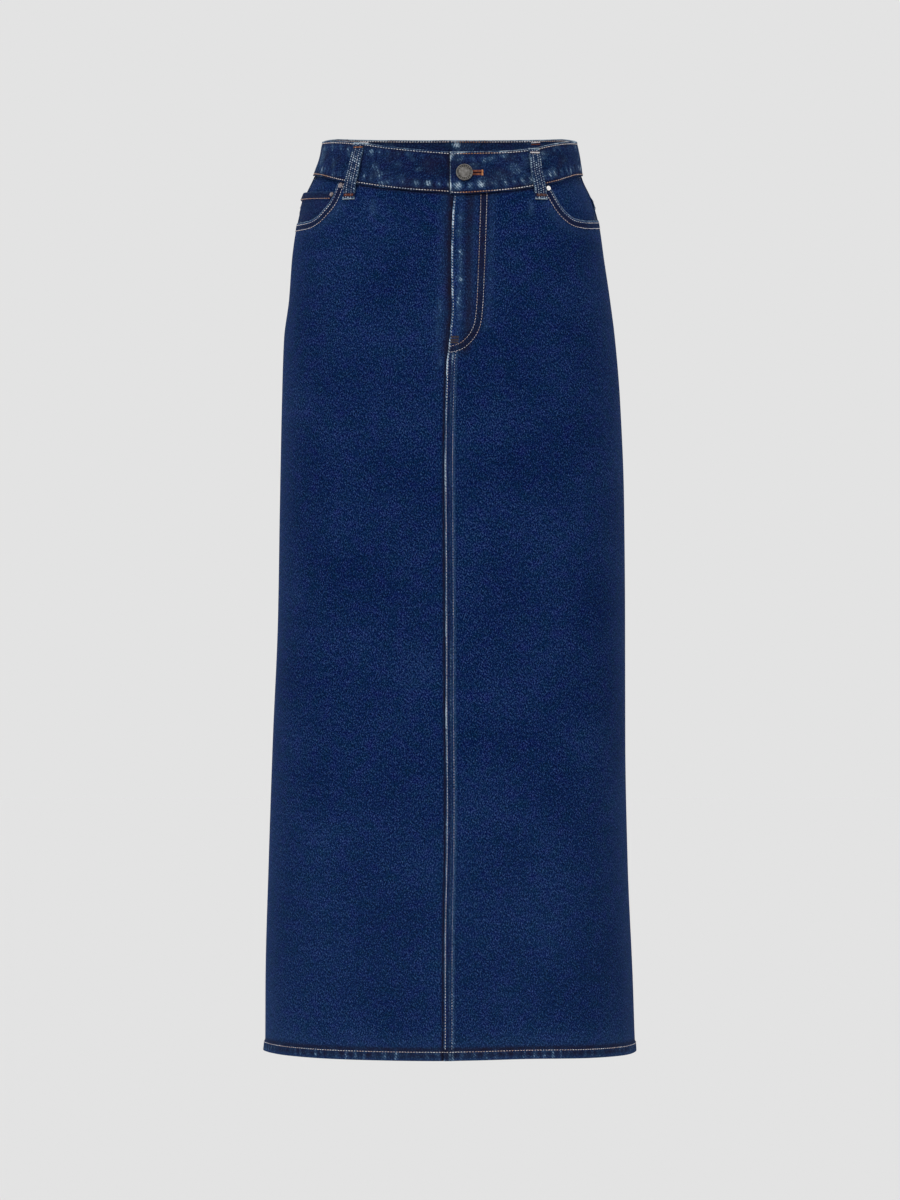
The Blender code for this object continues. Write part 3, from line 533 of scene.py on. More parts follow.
def add(tree, kind, links=None, stops=None, **settings):
    """One node and its first live output. links gives its inputs, by name or number: another node's
    output, or a value. stops are a colour ramp's places and hex colours."""
    made = tree.nodes.new("ShaderNode" + kind)
    for name, value in settings.items():
        setattr(made, name, value)
    for name, value in (links or {}).items():
        if isinstance(value, bpy.types.NodeSocket):
            tree.links.new(value, made.inputs[name])
        else:
            made.inputs[name].default_value = value
    for k, (place, colour) in enumerate(stops or ()):
        elements = made.color_ramp.elements
        element = elements[k] if k < 2 else elements.new(place)
        element.position = place
        element.color = linear(colour)
    return next(output for output in made.outputs if output.enabled)


def new_material(name, values):
    """A material, its node tree, and its shader with these values."""
    material = bpy.data.materials.new(name)
    material.use_nodes = True
    shader = material.node_tree.nodes["Principled BSDF"]
    for socket, value in values.items():
        shader.inputs[socket].default_value = value
    return material, material.node_tree, shader


def denim(name, ground, fade, worn):
    """Rinsed 3/1 indigo twill: blue warp over a white weft that shows in flecks and where worn."""
    values = {"Roughness": 0.85, "Specular IOR Level": 0.04, "Sheen Weight": 0.12}
    values |= {"Sheen Roughness": 0.4, "Sheen Tint": linear("#3C78C8")}
    material, tree, shader = new_material(name, values)
    uv = add(tree, "UVMap", uv_map="cloth")
    wear, stain_and_shade = (
        add(tree, "Attribute", attribute_name=grid).node.outputs["Fac"]
        for grid in ("wear", "stain_and_shade")
    )

    # Warp yarns 1.2 mm wide with slubs 4 mm long: twice as coarse as they are, so that they show
    yarns = add(tree, "Mapping", {"Vector": uv, "Scale": (830, 250, 1)})
    slub = add(tree, "TexNoise", {"Vector": yarns, "Scale": 1.0, "Detail": 2.0, "Roughness": 0.6})
    # Flecks of weft along the twill's diagonal, 1.2 by 1.7 mm: twice as coarse as they are
    lean = (0, 0, math.radians(28))
    twill = add(tree, "Mapping", {"Vector": uv, "Rotation": lean, "Scale": (860, 600, 1)})
    fleck = add(tree, "TexNoise", {"Vector": twill, "Scale": 1.0, "Detail": 2.5, "Roughness": 0.6})
    # Clouds in the dye about 12 mm across, and tides about 90 mm
    flat = add(tree, "Mapping", {"Vector": uv, "Scale": (1000, 1000, 1000)})
    cloud = add(tree, "TexNoise", {"Vector": flat, "Scale": 0.08, "Detail": 3.0})
    tide = add(tree, "TexNoise", {"Vector": flat, "Scale": 0.011, "Detail": 2.0})
    grain = {"Vector": flat, "Scale": 0.35, "Detail": 3.0, "Roughness": 0.65}
    grain = add(tree, "TexNoise", grain)
    # The twill's own lines, 0.9 mm apart, for the eye close up
    ribs = add(tree, "Mapping", {"Vector": uv, "Rotation": lean, "Scale": (1000, 1000, 1)})
    rib = {"Vector": ribs, "Scale": 0.35, "Distortion": 1.2, "Detail": 2.0, "Detail Scale": 2.0}
    rib = add(tree, "TexWave", rib)

    parts = ((fleck, 2.6), (slub, 0.9), (rib, 0.45), (cloud, 0.35), (tide, 0.3))
    level = 0.5 - sum(share for _, share in parts) / 2
    for pattern, share in parts:
        level = add(tree, "Math", {0: pattern, 1: share, 2: level}, operation="MULTIPLY_ADD")
    base = add(tree, "ValToRGB", {"Fac": level}, ground)
    hue = add(tree, "Math", {0: cloud, 1: 0.06, 2: 0.472}, operation="MULTIPLY_ADD")
    base = add(tree, "HueSaturation", {"Hue": hue, "Color": base})

    # Rubbing fades the dye, and takes it off the crests of the yarns and of a sewn edge's twist
    faded = add(tree, "Math", {0: wear, 1: grain}, operation="MULTIPLY")
    faded = add(tree, "Math", {0: faded, 1: 1.3}, operation="MULTIPLY", use_clamp=True)
    base = add(tree, "Mix", {0: faded, 6: base, 7: linear(fade)}, data_type="RGBA")
    # The twist has the stitches' pitch, 2.9 mm along an edge that runs up or across
    twist = {"Vector": flat, "Scale": 0.217, "Distortion": 1.5, "Detail": 1.0}
    twist = add(tree, "TexWave", twist, bands_direction="DIAGONAL")
    parts = ((fleck, 2.1), (slub, 0.9), (grain, 2.2), (twist, 0.7), (rib, 0.3))
    crest = -0.94 - sum(share for _, share in parts) / 2
    for pattern, share in (*parts, (wear, 1.55)):
        crest = add(tree, "Math", {0: pattern, 1: share, 2: crest}, operation="MULTIPLY_ADD")
    rubbed = add(tree, "Math", {0: crest, 1: 1.8}, operation="MULTIPLY", use_clamp=True)
    light = add(tree, "Math", {0: fleck, 1: 1.4, 2: -0.7}, operation="MULTIPLY_ADD")
    light = add(tree, "Math", {0: light, 1: wear}, operation="ADD")
    light = add(tree, "ValToRGB", {"Fac": light}, worn)
    base = add(tree, "Mix", {0: rubbed, 6: base, 7: light}, data_type="RGBA")
    # Between two rows of stitching the cloth keeps its dye and takes some of the thread's. The same
    # dark colour also paints shadow beside lapped edges, under the waistband and just above the hem
    dark_stain_and_shade = add(tree, "Math", {0: cloud, 1: 1.6, 2: 0.2}, operation="MULTIPLY_ADD")
    dark_stain_and_shade = add(tree, "Math", {0: dark_stain_and_shade, 1: stain_and_shade}, operation="MULTIPLY", use_clamp=True)
    base = add(tree, "Mix", {0: dark_stain_and_shade, 6: base, 7: linear("#131220")}, data_type="RGBA")
    tree.links.new(base, shader.inputs["Base Color"])

    relief = add(tree, "Math", {0: slub, 1: fleck}, operation="ADD")
    relief = add(tree, "Math", {0: relief, 1: rib}, operation="ADD")
    bump = add(tree, "Bump", {"Height": relief, "Strength": 0.6, "Distance": 0.16 * MM})
    tree.links.new(bump, shader.inputs["Normal"])
    return material


def thread():
    """Matt spun polyester topstitching thread: grey where rubbed, then pink, tan, rust, brown."""
    values = {"Roughness": 0.75, "Specular IOR Level": 0.15}
    material, tree, shader = new_material("topstitch_thread", values)
    tint = add(tree, "Attribute", attribute_name="tint").node.outputs["Fac"]
    stops = (
        (0.0, "#98A2B4"), (1.0, "#3C3436"), (0.14, "#DAD8DA"), (0.3, "#C4B4B0"),
        (0.5, "#B08E7C"), (0.76, "#BE8458"), (0.88, "#6E3A2A"),
    )
    base = add(tree, "ValToRGB", {"Fac": tint}, stops)
    # Fibres about 0.7 mm long, with darker gaps between the plies
    place = add(tree, "TexCoord").node.outputs["Object"]
    fuzz = add(tree, "TexNoise", {"Vector": place, "Scale": 1500.0, "Detail": 1.0})
    shade = add(tree, "Math", {0: fuzz, 1: 1.4, 2: -0.25}, operation="MULTIPLY_ADD")
    # Lengths of about 12 mm that the dye has darkened more or less
    dimmed = add(tree, "TexNoise", {"Vector": place, "Scale": 80.0, "Detail": 2.0})
    shade = add(tree, "Math", {0: dimmed, 1: 0.9, 2: shade}, operation="MULTIPLY_ADD")
    base = add(tree, "HueSaturation", {"Value": shade, "Color": base})
    tree.links.new(base, shader.inputs["Base Color"])
    return material


def aged_metal(name, bright, dull, roughness):
    """Plated brass with an antique finish: dark where the plating's polish doesn't reach."""
    material, tree, shader = new_material(name, {"Roughness": roughness, "Metallic": 1.0})
    place = add(tree, "TexCoord").node.outputs["Object"]
    # Tarnish in patches about 3 mm across, and scuffs of 0.3 mm
    patches = add(tree, "TexNoise", {"Vector": place, "Scale": 330.0, "Detail": 3.0})
    scuffs = add(tree, "TexNoise", {"Vector": place, "Scale": 3300.0, "Detail": 1.0})
    tone = add(tree, "Math", {0: scuffs, 1: 0.35, 2: -0.17}, operation="MULTIPLY_ADD")
    tone = add(tree, "Math", {0: tone, 1: patches}, operation="ADD")
    base = add(tree, "ValToRGB", {"Fac": tone}, ((0.35, dull), (0.65, bright)))
    tree.links.new(base, shader.inputs["Base Color"])
    bump = add(tree, "Bump", {"Height": scuffs, "Strength": 0.2, "Distance": 0.03 * MM})
    tree.links.new(bump, shader.inputs["Normal"])
    return material


FACE = denim(
    "indigo_denim",
    ((0.0, "#000922"), (0.4, "#000E35"), (0.7, "#02214D"), (1.0, "#344E76")),
    "#34506F",
    ((0.25, "#35547C"), (0.6, "#62829E"), (1.0, "#A6B6C4")),
)
REVERSE = denim(
    "denim_reverse",
    ((0.0, "#46546E"), (0.5, "#6A7892"), (1.0, "#A0ABBC")),
    "#8FA0B4",
    ((0.3, "#8FA0B4"), (0.7, "#C3CCD6")),
)
THREAD = thread()
BUTTON_METAL = aged_metal("antique_nickel", "#6E6C6A", "#4C4A47", 0.5)
BUTTON_DARK = aged_metal("antique_nickel_recess", "#34322F", "#201E1C", 0.6)
RIVET_METAL = aged_metal("nickel_plate", "#F2F0EE", "#D2CECC", 0.25)
RIVET_DULL = aged_metal("nickel_plate_dulled", "#8E868E", "#756C68", 0.45)


# --- cloth shells -------------------------------------------------------------------------------


def fit(made, node=None):
    """Rides a piece on the frame's one body and over the node that it stands for."""
    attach(made, "root")
    if node:
        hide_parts(node)


def declare(made, node):
    """Rides a cloth piece on the frame's one body and over the node that it stands for."""
    fit(made, node)


def add_mesh(name, points, faces, materials):
    data = bpy.data.meshes.new(name)
    data.from_pydata(points, [], faces)
    for material in materials:
        data.materials.append(material)
    data.shade_smooth()
    made = bpy.data.objects.new(name, data)
    bpy.context.scene.collection.objects.link(made)
    return made


def paint(made, name, values):
    """A number at each vertex, which the piece's material reads."""
    layer = made.data.attributes.new(name, "FLOAT", "POINT")
    layer.data.foreach_set("value", np.asarray(values, np.float32).ravel())


def shell(name, *grids, lining=REVERSE, turned=0, within=(0, 0)):
    """A closed shell from grids with columns round the body and rows up it.

    The grids are its angles, heights, outside and inside, which are how far its two faces are from
    the skin, and the wear and the stain with painted shade on its outside. The pair within are
    those on its inside. turned marks the places whose inside shows the cloth's right side, as in a
    hem."""
    angle, height = grids[:2]
    grids = [np.broadcast_to(grid, angle.shape).astype(float) for grid in (*grids, turned, *within)]
    if angle[-1, 0] < angle[0, 0]:
        grids = [grid[::-1] for grid in grids]
    if height[0, -1] < height[0, 0]:
        grids = [grid[:, ::-1] for grid in grids]
    angle, height, outside, inside, wear, stain_and_shade, turned, inner_wear, inner_bound = grids
    outer, inner = skin(angle, height, outside), skin(angle, height, inside)
    number = np.arange(angle.size).reshape(angle.shape)
    under = number + angle.size

    def quads(a, b, c, d):
        return np.stack([a, b, c, d], axis=-1).reshape(-1, 4)

    front = quads(number[:-1, :-1], number[1:, :-1], number[1:, 1:], number[:-1, 1:])
    back = quads(under[:-1, :-1], under[:-1, 1:], under[1:, 1:], under[1:, :-1])
    border = [number[:-1, 0], number[-1, :-1], number[:0:-1, -1], number[0, :0:-1]]
    border = np.concatenate(border)
    after = np.roll(border, -1)
    rim = quads(after, border, border + angle.size, after + angle.size)
    faces = np.concatenate([front, back, rim])
    points = np.concatenate([outer, inner]).reshape(-1, 3)
    made = add_mesh(name, points, faces, [FACE, lining])
    slot = np.zeros(len(faces), np.int32)
    slot[len(front) : len(front) + len(back)] = turned[:-1, :-1].ravel() <= 0.5
    made.data.polygons.foreach_set("material_index", slot)

    up = lengths(outer, 1) + height[:, :1] - height[:, :1].min()
    flat = np.stack([lengths(outer), up], axis=-1).reshape(-1, 2)
    flat = np.concatenate([flat, flat + (0.5, 0.3)]) + RANDOM.uniform(0, 3, 2)
    layer = made.data.uv_layers.new(name="cloth")
    corners = np.empty(len(made.data.loops), np.int32)
    made.data.loops.foreach_get("vertex_index", corners)
    layer.data.foreach_set("uv", flat[corners].astype(np.float32).ravel())
    paint(made, "wear", np.concatenate([wear, inner_wear]))
    paint(made, "stain_and_shade", np.concatenate([stain_and_shade, inner_bound]))
    return made


def hem_parts(angle, height):
    """The hem's share (1 in the folded cloth), its height above the bottom, its relief with the
    ropes over its stitching, its wear, and its darkening: the dye and thread stain that it keeps,
    and a painted shadow just above its top edge."""
    above = height - HEM_BOTTOM
    share = 1 - ramp(above, HEM_DEPTH - 0.6 * MM, HEM_DEPTH + 1.2 * MM)
    ropes = rope(np.radians(angle) * HEM_RADIUS, above, HEM_ROPE, 0.08, 3) ** 2
    ropes *= share * grow(above, 0, 1.5)
    # Over its lowest 360 mm the cloth grows a little lighter towards the hem; nearer the fold it is
    # rubbed
    wear = 0.05 * grow(above, 360, 100) + 0.1 * grow(above, 34, 12) + 0.1 * near(above, 4.5, 4)
    wear += 0.44 * ropes * grow(above, 0.3, 2) + 0.25 * near(above, 0, 0.7)
    # A painted shadow just above the hem's top edge, and dye and thread stain kept inside the hem
    dark_stain_and_shade = 0.75 * near(above, 11.4, 2.2) + 0.7 * near(above, 5.5, 3.6) * (1 - 0.8 * ropes)
    return share, above, HEM_OUT * share + HEM_ROPE_RISE * ropes, wear, dark_stain_and_shade


def rub_marks(points):
    """The rubbed places listed in RUBS, on whatever is at the front there."""
    marks = np.zeros(points.shape[:-1])
    for rub in RUBS:
        mark = near(points[..., 0], rub.x, rub.wide) * near(points[..., 2], rub.height, rub.tall)
        marks += rub.amount * mark
    return np.where(points[..., 1] < 0, marks, 0)


def tucked(height, foot, depth):
    """How far a panel's top edge is drawn in, where it goes under the piece above it."""
    return depth * ramp(height - foot, *TUCK_RAMP)


def side_gap(side, place, height):
    """How far points are from the side seam."""
    return np.linalg.norm(place - skin(side * SIDE, height), axis=-1)


def panel_heights(top, level, tuck):
    """Rows of a body panel: close at the hem, wider up the body, and close again to the top.

    top and tuck have a number for each column. Below the height level, the rows are level."""
    body = np.linspace(HEM_BOTTOM + HEM_ROWS[-1], FINE_FROM, 74)[1:]
    fine = np.linspace(FINE_FROM, level, round((level - FINE_FROM) / FINE_PITCH))[1:]
    flat = np.concatenate([HEM_BOTTOM + HEM_ROWS, body, fine])
    flat = np.broadcast_to(flat, (len(top), len(flat)))
    shares = np.linspace(0, 1, 14)[1:-1]
    middle = level + shares * (top - TOP_ROWS[0] - level)[:, None]
    edge = top[:, None] - TOP_ROWS
    beyond = top[:, None] + TUCK_ROWS * tuck[:, None]
    return np.concatenate([flat, middle, edge, beyond], axis=1)


def front_panel(side, hand, mouth_rows):
    """A front panel, from the lap's edge to just past the side seam. The left one lies on top."""
    mouth = even(curve(mouth_rows, 200) * (side, MM), MOUTH_PITCH)
    steps = LAP_STEPS[side]
    middle = np.linspace(0, 1, 72)[1:-1]
    past = side * (SIDE + np.array([0.35, 0.9, 1.7]))
    lap, pocket = len(steps), len(steps) + len(middle)

    level = band_foot(0.0)
    lap_top = band_foot(angle_at(lap_edge(level) + steps, level))
    turned = np.concatenate([mouth[0, 0] * middle, mouth[:, 0], past])
    seam = np.concatenate([lap_top, band_foot(turned)])
    cut = np.concatenate([np.full(pocket, FAR), mouth[:, 1], np.full(len(past), mouth[-1, 1])])
    top = np.minimum(seam, cut)
    height = panel_heights(top, FRONT_LEVEL, np.where(top >= seam - 0.1 * MM, 1.0, 0.05))

    angle, edge = np.empty(height.shape), lap_edge(height)
    angle[:lap] = angle_at(edge[:lap] + steps[:, None], height[:lap])
    last = angle_at(edge[lap - 1] + steps[-1], height[lap:pocket])
    angle[lap:pocket] = last + (mouth[0, 0] - last) * middle[:, None]
    angle[pocket:] = turned[len(middle) :, None]

    place = skin(angle, height)
    from_edge = place[..., 0] - edge
    from_side, past_side = side_gap(side, place, height), np.abs(angle) > SIDE
    from_mouth, along_mouth = reach(place, mouth)
    from_mouth = np.where(np.abs(angle) > abs(mouth[0, 0]) - 12, from_mouth, FAR)
    foot = band_foot(angle)
    is_mouth = (height < foot - 1 * MM) | (np.abs(angle) > abs(mouth[0, 0]) + 1)
    hem, above, relief, wear, stain_and_shade = hem_parts(angle, height)

    drawn_in = tucked(height, foot, BAND_TUCK) + SIDE_WRAP * grow(from_side, 0, 1.2) * past_side
    twist = rope(along_mouth, from_mouth, MOUTH_ROPE, 0.5, 21) * near(from_mouth, 4, 3.5)
    outside = relief + 0.3 * MM * (1 - grow(from_mouth, 7.6, 9.5)) + MOUTH_ROPE_RISE * twist
    outside -= SIDE_SINK * near(from_side, 0, 1.6) + drawn_in
    inside = -DENIM - (HEM_IN - DENIM) * hem - drawn_in
    wear += 0.85 * near(from_mouth, 0, 0.9) * is_mouth + rub_marks(place)
    wear += 0.25 * near(from_side, 0, 1.8) * ~past_side
    wear += 0.2 * near(from_mouth, 13, 5) * near(height, -60, 25)
    # Stain between the mouth's two rows, and a painted shadow just under the waistband's foot
    stain_and_shade += 0.7 * near(from_mouth, 5.2, 2.6) + 0.6 * near(height - foot, -0.6, 1.6)

    below = 1 - ramp(height, *FLY_FOOT)  # 1 below the fly, 0 beside it
    if side > 0:
        lift, fly = lap_lift(from_edge), 0.3 * MM * fly_share(place)
        twist = rope(height, from_edge, LAP_ROPE, 0.6, 40) * near(from_edge, 5, 4)
        outside += lift + fly + LAP_ROPE_RISE * twist - folded(from_edge)
        inside += lift * (1 - 0.35 * hem) + fly + 0.6 * folded(from_edge)
        for line in fly_lines():
            outside -= 0.12 * MM * near(reach(place, line)[0], 0, 0.9)
        # The folded edge is rubbed on each stitch's crest, the rows' ropes in broken smears
        nubs = 0.5 + 0.5 * np.cos(math.tau * height / STITCH)
        broken = 0.75 + 0.3 * wander(height, 51, 9 * MM)
        broken *= 0.8 + 0.25 * nubs + 0.35 * (nubs - 0.35) * below
        amount = 1.12 - 0.22 * below - 0.36 * grow(height, -450, -850)
        wear += amount * broken * near(from_edge, 0.7, 1.45 - 0.3 * below)
        smear = 0.14 + 1.1 * (0.3 + 0.3 * wander(height, 50, 30 * MM))
        wear += (smear * near(from_edge, 5.8, 0.9) + 0.5 * near(from_edge, 9.6, 1.1)) * below
        patches = np.clip(0.2 + 1.1 * wander(height, 52, 6 * MM), 0, 1)
        strip = near(from_edge, 8.5 + 2.2 * wander(height, 53, 9 * MM), 2.6)
        strip = (0.06 + 0.18 * patches) * strip + 0.12 * near(from_edge, 9, 4.5)
        wear += strip * (1 - below)
        from_fly, _ = reach(place, fly_line(FLY_GAUGE / 2))
        wear += 0.15 * near(from_fly, 9, 4) * (height > -185 * MM)
        stain_and_shade += 0.7 * near(from_fly, 0, 4.2) + 0.4 * near(from_edge, 4.6, 2.4) * below
        # Darker over the fly, about 17.5 mm in from the edge, above the fly's foot
        stain_and_shade += 0.6 * near(from_edge, 17.5, 4.5) * (1 - below)
    else:
        outside -= relief * ramp(from_edge, *LAP_COVER)
        # Painted shadow beside the left panel's lapped edge: a dark line, and above the fly's foot
        # a wider shade
        stain_and_shade += 0.85 * grow(from_edge, -3.4, -1.2) + 0.6 * near(from_edge, -3, 4) * (1 - below)
        wear += 0.12 * near(from_edge, -9, 5) * grow(height, -260, -200)

    free = folded(np.where(is_mouth, from_mouth, FAR))
    outside -= free + folded(above)
    inside += 0.6 * free + folded(above)
    grids = (angle, height, outside, inside, wear, np.clip(stain_and_shade, 0, PANEL_STAIN_AND_SHADE))
    made = shell("front_" + hand, *grids, turned=hem > 0.5)
    declare(made, "front_panel_" + hand)


def fly_share(points):
    """1 over the fly's facing, which lies under the panel between its edge and its stitching."""
    line = fly_line(FLY_GAUGE / 2)
    limit = np.interp(points[..., 2], line[::-1, 1], skin(*line.T)[::-1, 0])
    above = grow(points[..., 2] - line[-1, 1], -2, 1)
    return (1 - grow(points[..., 0] - limit, -1, 1.5)) * above


def back_columns(side, heights):
    """A back piece's grid: columns from the side seam to the lap's edge at centre back.

    heights gives the rows of all the columns from their angles."""
    steps = LAP_STEPS[side][::-1]
    first, join = 166, 10  # degrees where the columns start to follow the lap, and how far on
    even_columns = np.linspace(SIDE + 0.05, first, 118)
    shares = np.linspace(0, 1, 9)[1:]
    angles = [even_columns, first + join * shares, np.full(len(steps) - 1, BACK - 1)]
    height = heights(np.concatenate(angles))
    angle = np.repeat(np.concatenate(angles)[:, None], height.shape[1], axis=1)

    def from_lap(step, height):
        turned = angle_at(BACK_LAP_EDGE + step, height, back=True)
        return turned if side > 0 else 2 * BACK - turned

    k, n = len(even_columns), len(even_columns) + len(shares)
    angle[k:n] = first + (from_lap(steps[0], height[k:n]) - first) * shares[:, None]
    angle[n:] = from_lap(steps[1:, None], height[n:])
    return side * angle, height


def back_relief(side, angle, height):
    """What a back panel and a yoke share, at the lapped seam and the side seam, and how much of
    their other relief stands free of the lap."""
    place = skin(angle, height)
    from_edge = place[..., 0] - BACK_LAP_EDGE
    from_side = side_gap(side, place, height)
    outside, wear = -SIDE_SINK * near(from_side, 0, 1.6), 0.3 * near(from_side, 0, 2.2)
    if side < 0:
        # Painted shadow beside the left back panel's lapped edge
        stain_and_shade = 0.85 * grow(from_edge, -3.2, -1.2)
        return outside, 0 * height, wear, stain_and_shade, 1 - ramp(from_edge, *LAP_COVER)
    twist = rope(height, from_edge, LAP_ROPE, 0.6, 60) * near(from_edge, 5, 4)
    outside += lap_lift(from_edge) + LAP_ROPE_RISE * twist - folded(from_edge)
    inside = lap_lift(from_edge) + 0.6 * folded(from_edge)
    wear += 0.85 * near(from_edge, 0.3, 1.1) + 0.3 * near(from_edge, 6.3, 1)
    return outside, inside, wear, 0.5 * near(from_edge, 3.8, 1.3), 1.0


def back_panel(side, hand):
    def heights(angle):
        return panel_heights(yoke_foot(angle), BACK_LEVEL, np.ones(len(angle)))

    angle, height = back_columns(side, heights)
    outside, inside, wear, stain_and_shade, free = back_relief(side, angle, height)
    hem, above, relief, hem_wear, hem_stain_and_shade = hem_parts(angle, height)
    drawn_in = tucked(height, yoke_foot(angle), YOKE_TUCK)
    outside += relief * free - drawn_in - folded(above)
    inside += -DENIM - (HEM_IN - DENIM) * hem - drawn_in + folded(above)
    wear += hem_wear + 0.12 * near(height, -190, 70) * bell(np.abs(angle) - 150, 22)
    grids = (angle, height, outside, inside, wear, np.clip(stain_and_shade + hem_stain_and_shade, 0, PANEL_STAIN_AND_SHADE))
    made = shell("back_" + hand, *grids, turned=hem > 0.5)
    declare(made, "back_panel_" + hand)


def yoke_lip(above):
    """How far the yoke's seamed foot stands off, at a height above it."""
    return YOKE_LIP * (1 - grow(above, 9, 12.6))


def yoke(side, hand):
    shares = np.linspace(0, 1, 24)[1:-1]

    def heights(angle):
        lip, top = yoke_foot(angle)[:, None] + LIP_ROWS, band_foot(angle)[:, None]
        middle = lip[:, -1:] + shares * (top - TOP_ROWS[-5] - lip[:, -1:])
        return np.concatenate([lip, middle, top - TOP_ROWS[-5:], top + TUCK_ROWS], axis=1)

    angle, height = back_columns(side, heights)
    outside, inside, wear, stain_and_shade, free = back_relief(side, angle, height)
    above, top = height - yoke_foot(angle), band_foot(angle)
    ropes = rope(np.radians(angle) * HIP_RADIUS, above, YOKE_ROPE, 0.5, 70) * near(above, 4.5, 3.5)
    drawn_in = tucked(height, top, BAND_TUCK)
    outside += (yoke_lip(above) + YOKE_ROPE_RISE * ropes) * free - folded(above) - drawn_in
    inside += -DENIM + 0.5 * folded(above) - drawn_in
    wear += 0.8 * near(above, 0, 1.2) + 0.35 * ropes
    # Stain between the yoke's two rows, and a painted shadow just under the waistband's foot
    stain_and_shade += 0.6 * near(above, 4.7, 2.4) + 0.6 * near(height - top, -0.6, 1.6)
    name = "yoke_" + hand
    made = shell(name, angle, height, outside, inside, wear, np.clip(stain_and_shade, 0, SEAM_STAIN_AND_SHADE))
    declare(made, name)


def band_relief(angle, height, x, side):
    """The waistband's outside, its lift at the overlap, and the ropes along its rows."""
    up, down = height - band_foot(angle), band_top(angle) - height
    along = np.radians(angle) * WAIST_RADIUS
    ropes = rope(along, up, BAND_ROPE, 0.12, 80) * near(up, 8.6, 4.2)
    ropes += 0.65 * rope(along, down, BAND_ROPE, -0.3, 90) * near(down, 6.8, 3.2)
    if side > 0:
        lift = FLAP_LIFT * (1 - ramp(x, *FLAP_RAMP))
    else:
        lift = -UNDER_SINK * (1 - ramp(-x, *UNDER_RAMP))
    lift = lift * (np.abs(angle) < SIDE)
    grooves = bell(up - BAND_ROW, 0.9 * MM) + bell(down - BAND_ROW, 0.9 * MM)
    outside = BAND_OUT + lift + BAND_ROPE_RISE * ropes
    outside -= 0.22 * MM * grooves + 0.25 * MM * near(down, 0, 5)
    return outside, lift, ropes, up, down


def waistband(side, hand):
    """Half the waistband: the left one ends in the buttonhole's flap, over the right one's end."""
    if side > 0:
        xs = np.concatenate([[0, 0.2, 0.5, 0.9, 1.4], np.linspace(2.2, 52, 34)]) * MM
    else:
        xs = -np.concatenate([[-38, -37.6, -37], np.linspace(-35.5, 52, 52)]) * MM
    turn = side * np.linspace(angle_at(52 * MM, -0.02), BACK - 0.03, 235)[1:]
    around = np.concatenate([angle_at(xs, band_top(0.0) - MM), turn])
    shares = np.linspace(0, 1, 24)[1:-1]
    low = band_foot(around)[:, None] + BAND_ROWS
    high = band_top(around)[:, None] - BAND_ROWS[::-1]
    height = np.concatenate([low, low[:, -1:] + shares * (high[:, :1] - low[:, -1:]), high], axis=1)
    angle = np.repeat(around[:, None], height.shape[1], axis=1)
    angle[: len(xs)] = angle_at(xs[:, None], height[: len(xs)])
    place = skin(angle, height)
    front = np.abs(angle) < SIDE
    outside, lift, ropes, up, down = band_relief(angle, height, place[..., 0], side)
    end = np.where(front, place[..., 0], FAR)
    fold = folded(up) + folded(down) + (folded(end) if side > 0 else 0)

    along = np.radians(angle) * WAIST_RADIUS
    speckle = wander(along, 95, 13 * MM)
    pale = wander(along + 0.6 * height, 141, 9 * MM) + wander(height - 0.5 * along, 142, 6 * MM)
    dark = wander(along - 0.8 * height, 143, 11 * MM) + wander(height + 0.3 * along, 144, 8 * MM)
    wear = np.maximum((0.85 + 0.2 * speckle) * ropes, rub_marks(place))
    wear += (0.75 + 0.3 * speckle) * near(down, 0, 1) + 0.2 * near(up, 0, 0.8)
    wear += 0.1 * wander(height + angle * 2 * MM, 97, 7 * MM) + 0.8 * np.clip(pale - 0.3, 0, 0.5)
    stain_and_shade = 0.5 * near(up, 2, 1.8) + 0.35 * near(down, 2.4, 1.4)
    stain_and_shade += 0.24 + 0.6 * np.clip(dark - 0.2, 0, 0.4) - 0.25 * ropes
    if side > 0:
        wear += (0.85 + 0.15 * wander(height, 99, 6 * MM)) * near(end, 0, 1.1)
    else:
        # Painted shadow beside the end of the left half's flap, which lies over this end
        stain_and_shade += 0.85 * grow(place[..., 0], -3, -0.8) * front
    patch = bell(angle - 177.6, 1.8) * near(down, 5, 4)
    inner_wear = (1.0 + 0.3 * speckle) * near(down, 0, 1.3) + 0.75 * patch
    inner_wear += 0.1 + 0.5 * np.clip(pale - 0.2, 0, 0.5)
    inner_bound = 0.35 + 0.3 * near(down, 2.4, 1.6) - 0.3 * patch
    name = "waistband_" + hand
    faces = (outside - fold, lift - BAND_IN + fold)
    grids = (angle, height, *faces, wear, np.clip(stain_and_shade, 0, SEAM_STAIN_AND_SHADE))
    made = shell(name, *grids, lining=FACE, within=(inner_wear, inner_bound))
    if side > 0:
        cut_buttonhole(made)
    declare(made, name)


def cut_buttonhole(band):
    """The keyhole: an eye round the button's stem, and a slit away from the flap's end."""
    depth = 16 * MM
    y = skin(angle_at(BUTTON_X, EYE_HEIGHT), EYE_HEIGHT)[1]
    eye = {"vertices": 20, "radius": EYE_RADIUS, "depth": depth, "rotation": (math.pi / 2, 0, 0)}
    bpy.ops.mesh.primitive_cylinder_add(location=(BUTTON_X, y, EYE_HEIGHT), **eye)
    cutters = [bpy.context.object]
    middle, long = (BUTTON_X + SLIT_END) / 2, SLIT_END - BUTTON_X
    slit = {"size": 1, "scale": (long, depth, SLIT_WIDTH)}
    bpy.ops.mesh.primitive_cube_add(location=(middle, y, EYE_HEIGHT), **slit)
    cutters.append(bpy.context.object)
    for cutter in cutters:
        bpy.context.view_layer.objects.active = band
        cut = band.modifiers.new("cut", "BOOLEAN")
        cut.object = cutter
        cut.solver = "EXACT"
        bpy.ops.object.modifier_apply(modifier=cut.name)
        bpy.data.objects.remove(cutter)


